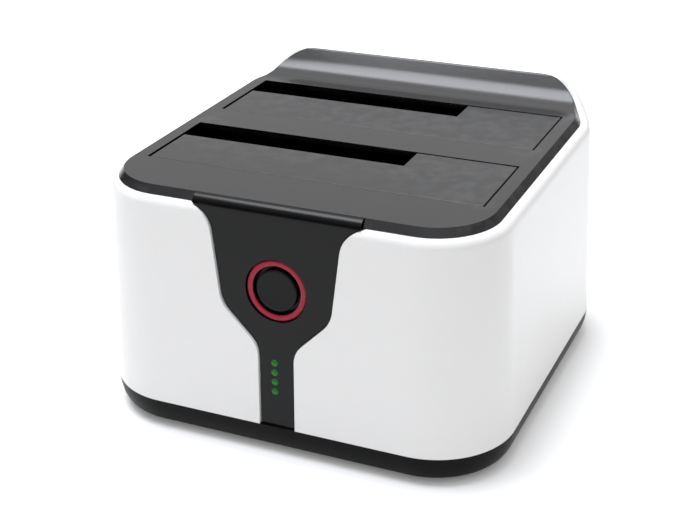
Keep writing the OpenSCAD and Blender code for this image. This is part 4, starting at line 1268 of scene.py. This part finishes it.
@dataclass
class CadPieces:
    """CAD nodes whose shape is right: some are copied with soft edges, the rest get a better finish."""

    nodes: dict[str, bpy.types.Object]  # The frame's CAD objects.
    # Node, piece name, slot, body and edge radius of each copy.
    softened: tuple[tuple[str, str, Slot, str, float], ...] = (
        ("base_tray", "base", Slot.BASE, "housing", 0.0),
        ("rear_port_plate", "port_plate", Slot.PANEL, "housing", 0.15),
        ("usb_port_shell", "data_port_shell", Slot.PORT, "housing", 0.12),
        ("usb_port_insert", "data_port_lining", Slot.LINING, "housing", 0.1),
        ("dc_jack_body", "power_inlet_body", Slot.CHIP, "housing", 0.15),
        ("rocker_housing", "rocker_frame", Slot.SWITCH, "housing", 0.2),
        ("rocker", "rocker_key", Slot.SWITCH, "power_rocker", 0.25),
        ("front_sata_connector", "front_drive_socket", Slot.CHIP, "housing", 0.12),
        ("rear_sata_connector", "rear_drive_socket", Slot.CHIP, "housing", 0.12),
    )
    # Slots with the nodes that stay and get their finish.
    finished: tuple[tuple[Slot, tuple[str, ...]], ...] = (
        # The guide's near-black finish is painted shade for the inside of the bays.
        (Slot.SHADED_GUIDE, ("drive_guide",)),
        (Slot.STEEL, ("base_screws", "lid_screws", "board_screws", "front_board_screws")),
        (Slot.STEEL, ("front_door_pin", "rear_door_pin", "dc_jack_pin")),
        (Slot.BOARD, ("main_board", "front_board")),
        (Slot.CHIP, ("push_switch", "board_header", "bridge_chip")),
        (Slot.PLUNGER, ("switch_plunger",)),
        (Slot.LAMP, ("status_leds",)),
        (Slot.CONTACT, ("front_sata_contacts", "rear_sata_contacts")),
        (Slot.CAN, ("capacitors", "crystal")),
        (Slot.FERRITE, ("inductors",)),
    )
    merge: float = 2e-6  # Distance in metres within which points of a copy are merged.
    level: float = math.radians(0.4)  # Angle within which its faces count as one flat.

    def copy(self, node: str, name: str) -> bpy.types.Mesh:
        """Copies a node's mesh under a new name, with its points merged and its flat faces made whole.

        Args:
            node: The CAD node.
            name: Name of the new mesh.

        Returns:
            The new mesh.
        """
        mesh = self.nodes[node].data.copy()
        mesh.name = name
        work = bmesh.new()
        work.from_mesh(mesh)
        bmesh.ops.remove_doubles(work, verts=work.verts, dist=self.merge)
        bmesh.ops.dissolve_limit(work, angle_limit=self.level, verts=work.verts, edges=work.edges)
        work.to_mesh(mesh)
        work.free()
        for layer in list(mesh.attributes):
            if layer.name == "custom_normal":
                mesh.attributes.remove(layer)
        return mesh

    def build(self, shop: FinishShop) -> None:
        """Makes the softened copies and finishes the nodes that stay.

        Args:
            shop: Dresses the pieces.
        """
        for node, name, slot, body, soft in self.softened:
            piece = shop.dress(name, self.copy(node, name), slot, soft, body, node)
            if not soft:
                piece.modifiers.new("flat_faces", "WEIGHTED_NORMAL").keep_sharp = True
        for slot, nodes in self.finished:
            for node in nodes:
                for place in self.nodes[node].material_slots:
                    place.material = shop.materials[slot]
            log.info("%s: %s", slot.value, ", ".join(nodes))


# Stage


@dataclass(frozen=True)
class SkyWash:
    """A soft part of the surroundings, brightest in one direction."""

    toward: tuple[float, float, float]  # That direction.
    strength: float  # Brightness there.

    def build(self, tree: Tree, ray: Socket) -> Socket:
        """Strength times the square of the cosine to the direction, and nothing behind it.

        Args:
            tree: Node tree of the surroundings.
            ray: Socket of the direction that is looked up.

        Returns:
            Socket of the brightness.
        """
        aim = Vector(self.toward).normalized() * math.sqrt(self.strength)
        cosine = add_node(tree, "VectorMath", {0: ray, 1: aim}, operation="DOT_PRODUCT").outputs["Value"]
        ahead = add_node(tree, "Math", {0: cosine, 1: 0.0}, operation="MAXIMUM").outputs[0]
        return add_node(tree, "Math", {0: ahead, 1: 2.0}, operation="POWER").outputs[0]


@dataclass(frozen=True)
class SoftBox:
    """A rectangular studio light."""

    name: str  # Name of the light.
    place: tuple[float, float, float]  # Its middle in metres.
    aim: tuple[float, float, float]  # The point that it faces.
    size: tuple[float, float]  # Width and height in metres.
    radiance: float  # Brightness of its face.
    tint: Colour = (1.0, 1.0, 1.0)  # Colour of its light.

    def build(self) -> None:
        """Makes the light: its power is pi times its area times its radiance."""
        lamp = bpy.data.lights.new(self.name, "AREA")
        lamp.shape = "RECTANGLE"
        lamp.size, lamp.size_y = self.size
        lamp.energy = math.pi * self.size[0] * self.size[1] * self.radiance
        lamp.color = self.tint
        box = bpy.data.objects.new(self.name, lamp)
        bpy.context.scene.collection.objects.link(box)
        box.location = self.place
        away = Vector(self.place) - Vector(self.aim)
        box.rotation_euler = away.to_track_quat("Z", "Y").to_euler()
        box.visible_camera = False


@dataclass
class Studio:
    """Pale floor, soft light and the camera at the photograph's place."""

    camera_at: tuple[float, float, float] = (153.724, -357.424, 218.123)  # The camera's place in millimetres.
    right: tuple[float, float, float] = (0.917120, 0.398393, -0.013149)  # Its right-hand direction.
    down: tuple[float, float, float] = (0.159049, -0.395989, -0.904376)  # Its downward direction.
    ahead: tuple[float, float, float] = (-0.365504, 0.827330, -0.426534)  # Its viewing direction.
    lens: float = 69.975  # Focal length in millimetres.
    sensor: float = 36.0  # Width of the sensor.
    floor_half: float = 4000.0  # Half size of the floor in millimetres.
    # Inputs of the floor's shader.
    paper: dict[str, object] = field(
        default_factory=lambda: {
            "Base Color": (*grey(0.9), 1.0), "Roughness": 0.9, "Specular IOR Level": 0.1,
            "Emission Color": WHITE, "Emission Strength": 0.13,
        }
    )
    sky: tuple[SkyWash, ...] = (
        SkyWash((0.0, 0.0, 1.0), 1.29),
        SkyWash((0.0, 1.0, 0.3), 0.26),
        SkyWash((0.45, -0.9, 0.3), 0.25),
    )
    boxes: tuple[SoftBox, ...] = (
        SoftBox("top_box", (-0.19, -0.04, 0.9), (-0.05, 0.0, 0.05), (0.48, 0.56), 8.7, (0.965, 1.0, 1.06)),
        SoftBox("rear_screen", (-0.44, 1.0, 0.59), (0.0, 0.0, 0.076), (1.5, 1.0), 0.42),
        SoftBox("back_box", (-0.2, 0.45, 0.85), (0.0, 0.0, 0.05), (0.9, 0.4), 0.7),
        SoftBox("front_box", (-0.2, -0.5, 0.85), (0.0, 0.0, 0.05), (0.9, 0.4), 0.1),
    )

    def build(self) -> None:
        """Makes the world, lights, floor and camera."""
        bpy.context.scene.view_settings.view_transform = "Standard"
        self.surroundings()
        for box in self.boxes:
            box.build()
        self.floor()
        self.camera()

    def surroundings(self) -> None:
        """Makes the world: a white background as bright as all the washes of the sky together."""
        world = bpy.data.worlds.new("surroundings")
        world.use_nodes = True
        tree = world.node_tree
        ray = add_node(tree, "TexCoord").outputs["Generated"]
        total = self.sky[0].build(tree, ray)
        for wash in self.sky[1:]:
            total = add_node(tree, "Math", {0: total, 1: wash.build(tree, ray)}, operation="ADD").outputs[0]
        fill(tree, tree.nodes["Background"], {"Color": WHITE, "Strength": total})
        bpy.context.scene.world = world

    def camera(self) -> None:
        """Makes the camera: its axes are right, the reverse of down and the reverse of ahead."""
        lens = bpy.data.cameras.new("photo_view")
        lens.lens, lens.sensor_width, lens.sensor_fit = self.lens, self.sensor, "HORIZONTAL"
        camera = bpy.data.objects.new("photo_view", lens)
        bpy.context.scene.collection.objects.link(camera)
        axes = np.eye(4)
        axes[:3, 0], axes[:3, 1], axes[:3, 2] = self.right, -np.array(self.down), -np.array(self.ahead)
        axes[:3, 3] = np.array(self.camera_at) * MM
        camera.matrix_world = Matrix(axes.tolist())
        bpy.context.scene.camera = camera

    def floor(self) -> None:
        """Makes the floor: one flat grid with a matt pale finish."""
        s = np.linspace(-self.floor_half, self.floor_half, 9) * MM
        x, y = np.meshgrid(s, s)
        points = np.stack([x.ravel(), y.ravel(), 0 * x.ravel()], axis=-1)
        mesh = bpy.data.meshes.new("floor")
        mesh.from_pydata(points.tolist(), [], cells(*x.shape).reshape(-1, 4).tolist())
        paper = bpy.data.materials.new("pale_paper")
        paper.use_nodes = True
        fill(paper.node_tree, paper.node_tree.nodes["Principled BSDF"], self.paper)
        mesh.materials.append(paper)
        floor = bpy.data.objects.new("floor", mesh)
        bpy.context.scene.collection.objects.link(floor)


def main() -> None:
    logging.basicConfig(level=logging.INFO, format="%(name)s: %(message)s")
    for old in list(bpy.data.objects):
        bpy.data.objects.remove(old)
    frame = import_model()
    housing, funnel, shop = Housing(), Funnel(), FinishShop()
    Studio().build()
    ShellSkin(housing, funnel).build(shop)
    LidPlate(housing).build(shop)
    for door, front in zip(("front_door", "rear_door"), housing.bay_fronts):
        DoorLeaf(housing, door, front).build(shop)
        DoorSpring(housing, door, front).build(shop)
    FrontPanel(housing, funnel).build(shop)
    PowerButton(housing).build(shop)
    StatusLights(housing).build(shop)
    RubberFeet().build(shop)
    CadPieces(frame["nodes"]).build(shop)
    bpy.context.view_layer.update()


if __name__ == "__main__":
    main()
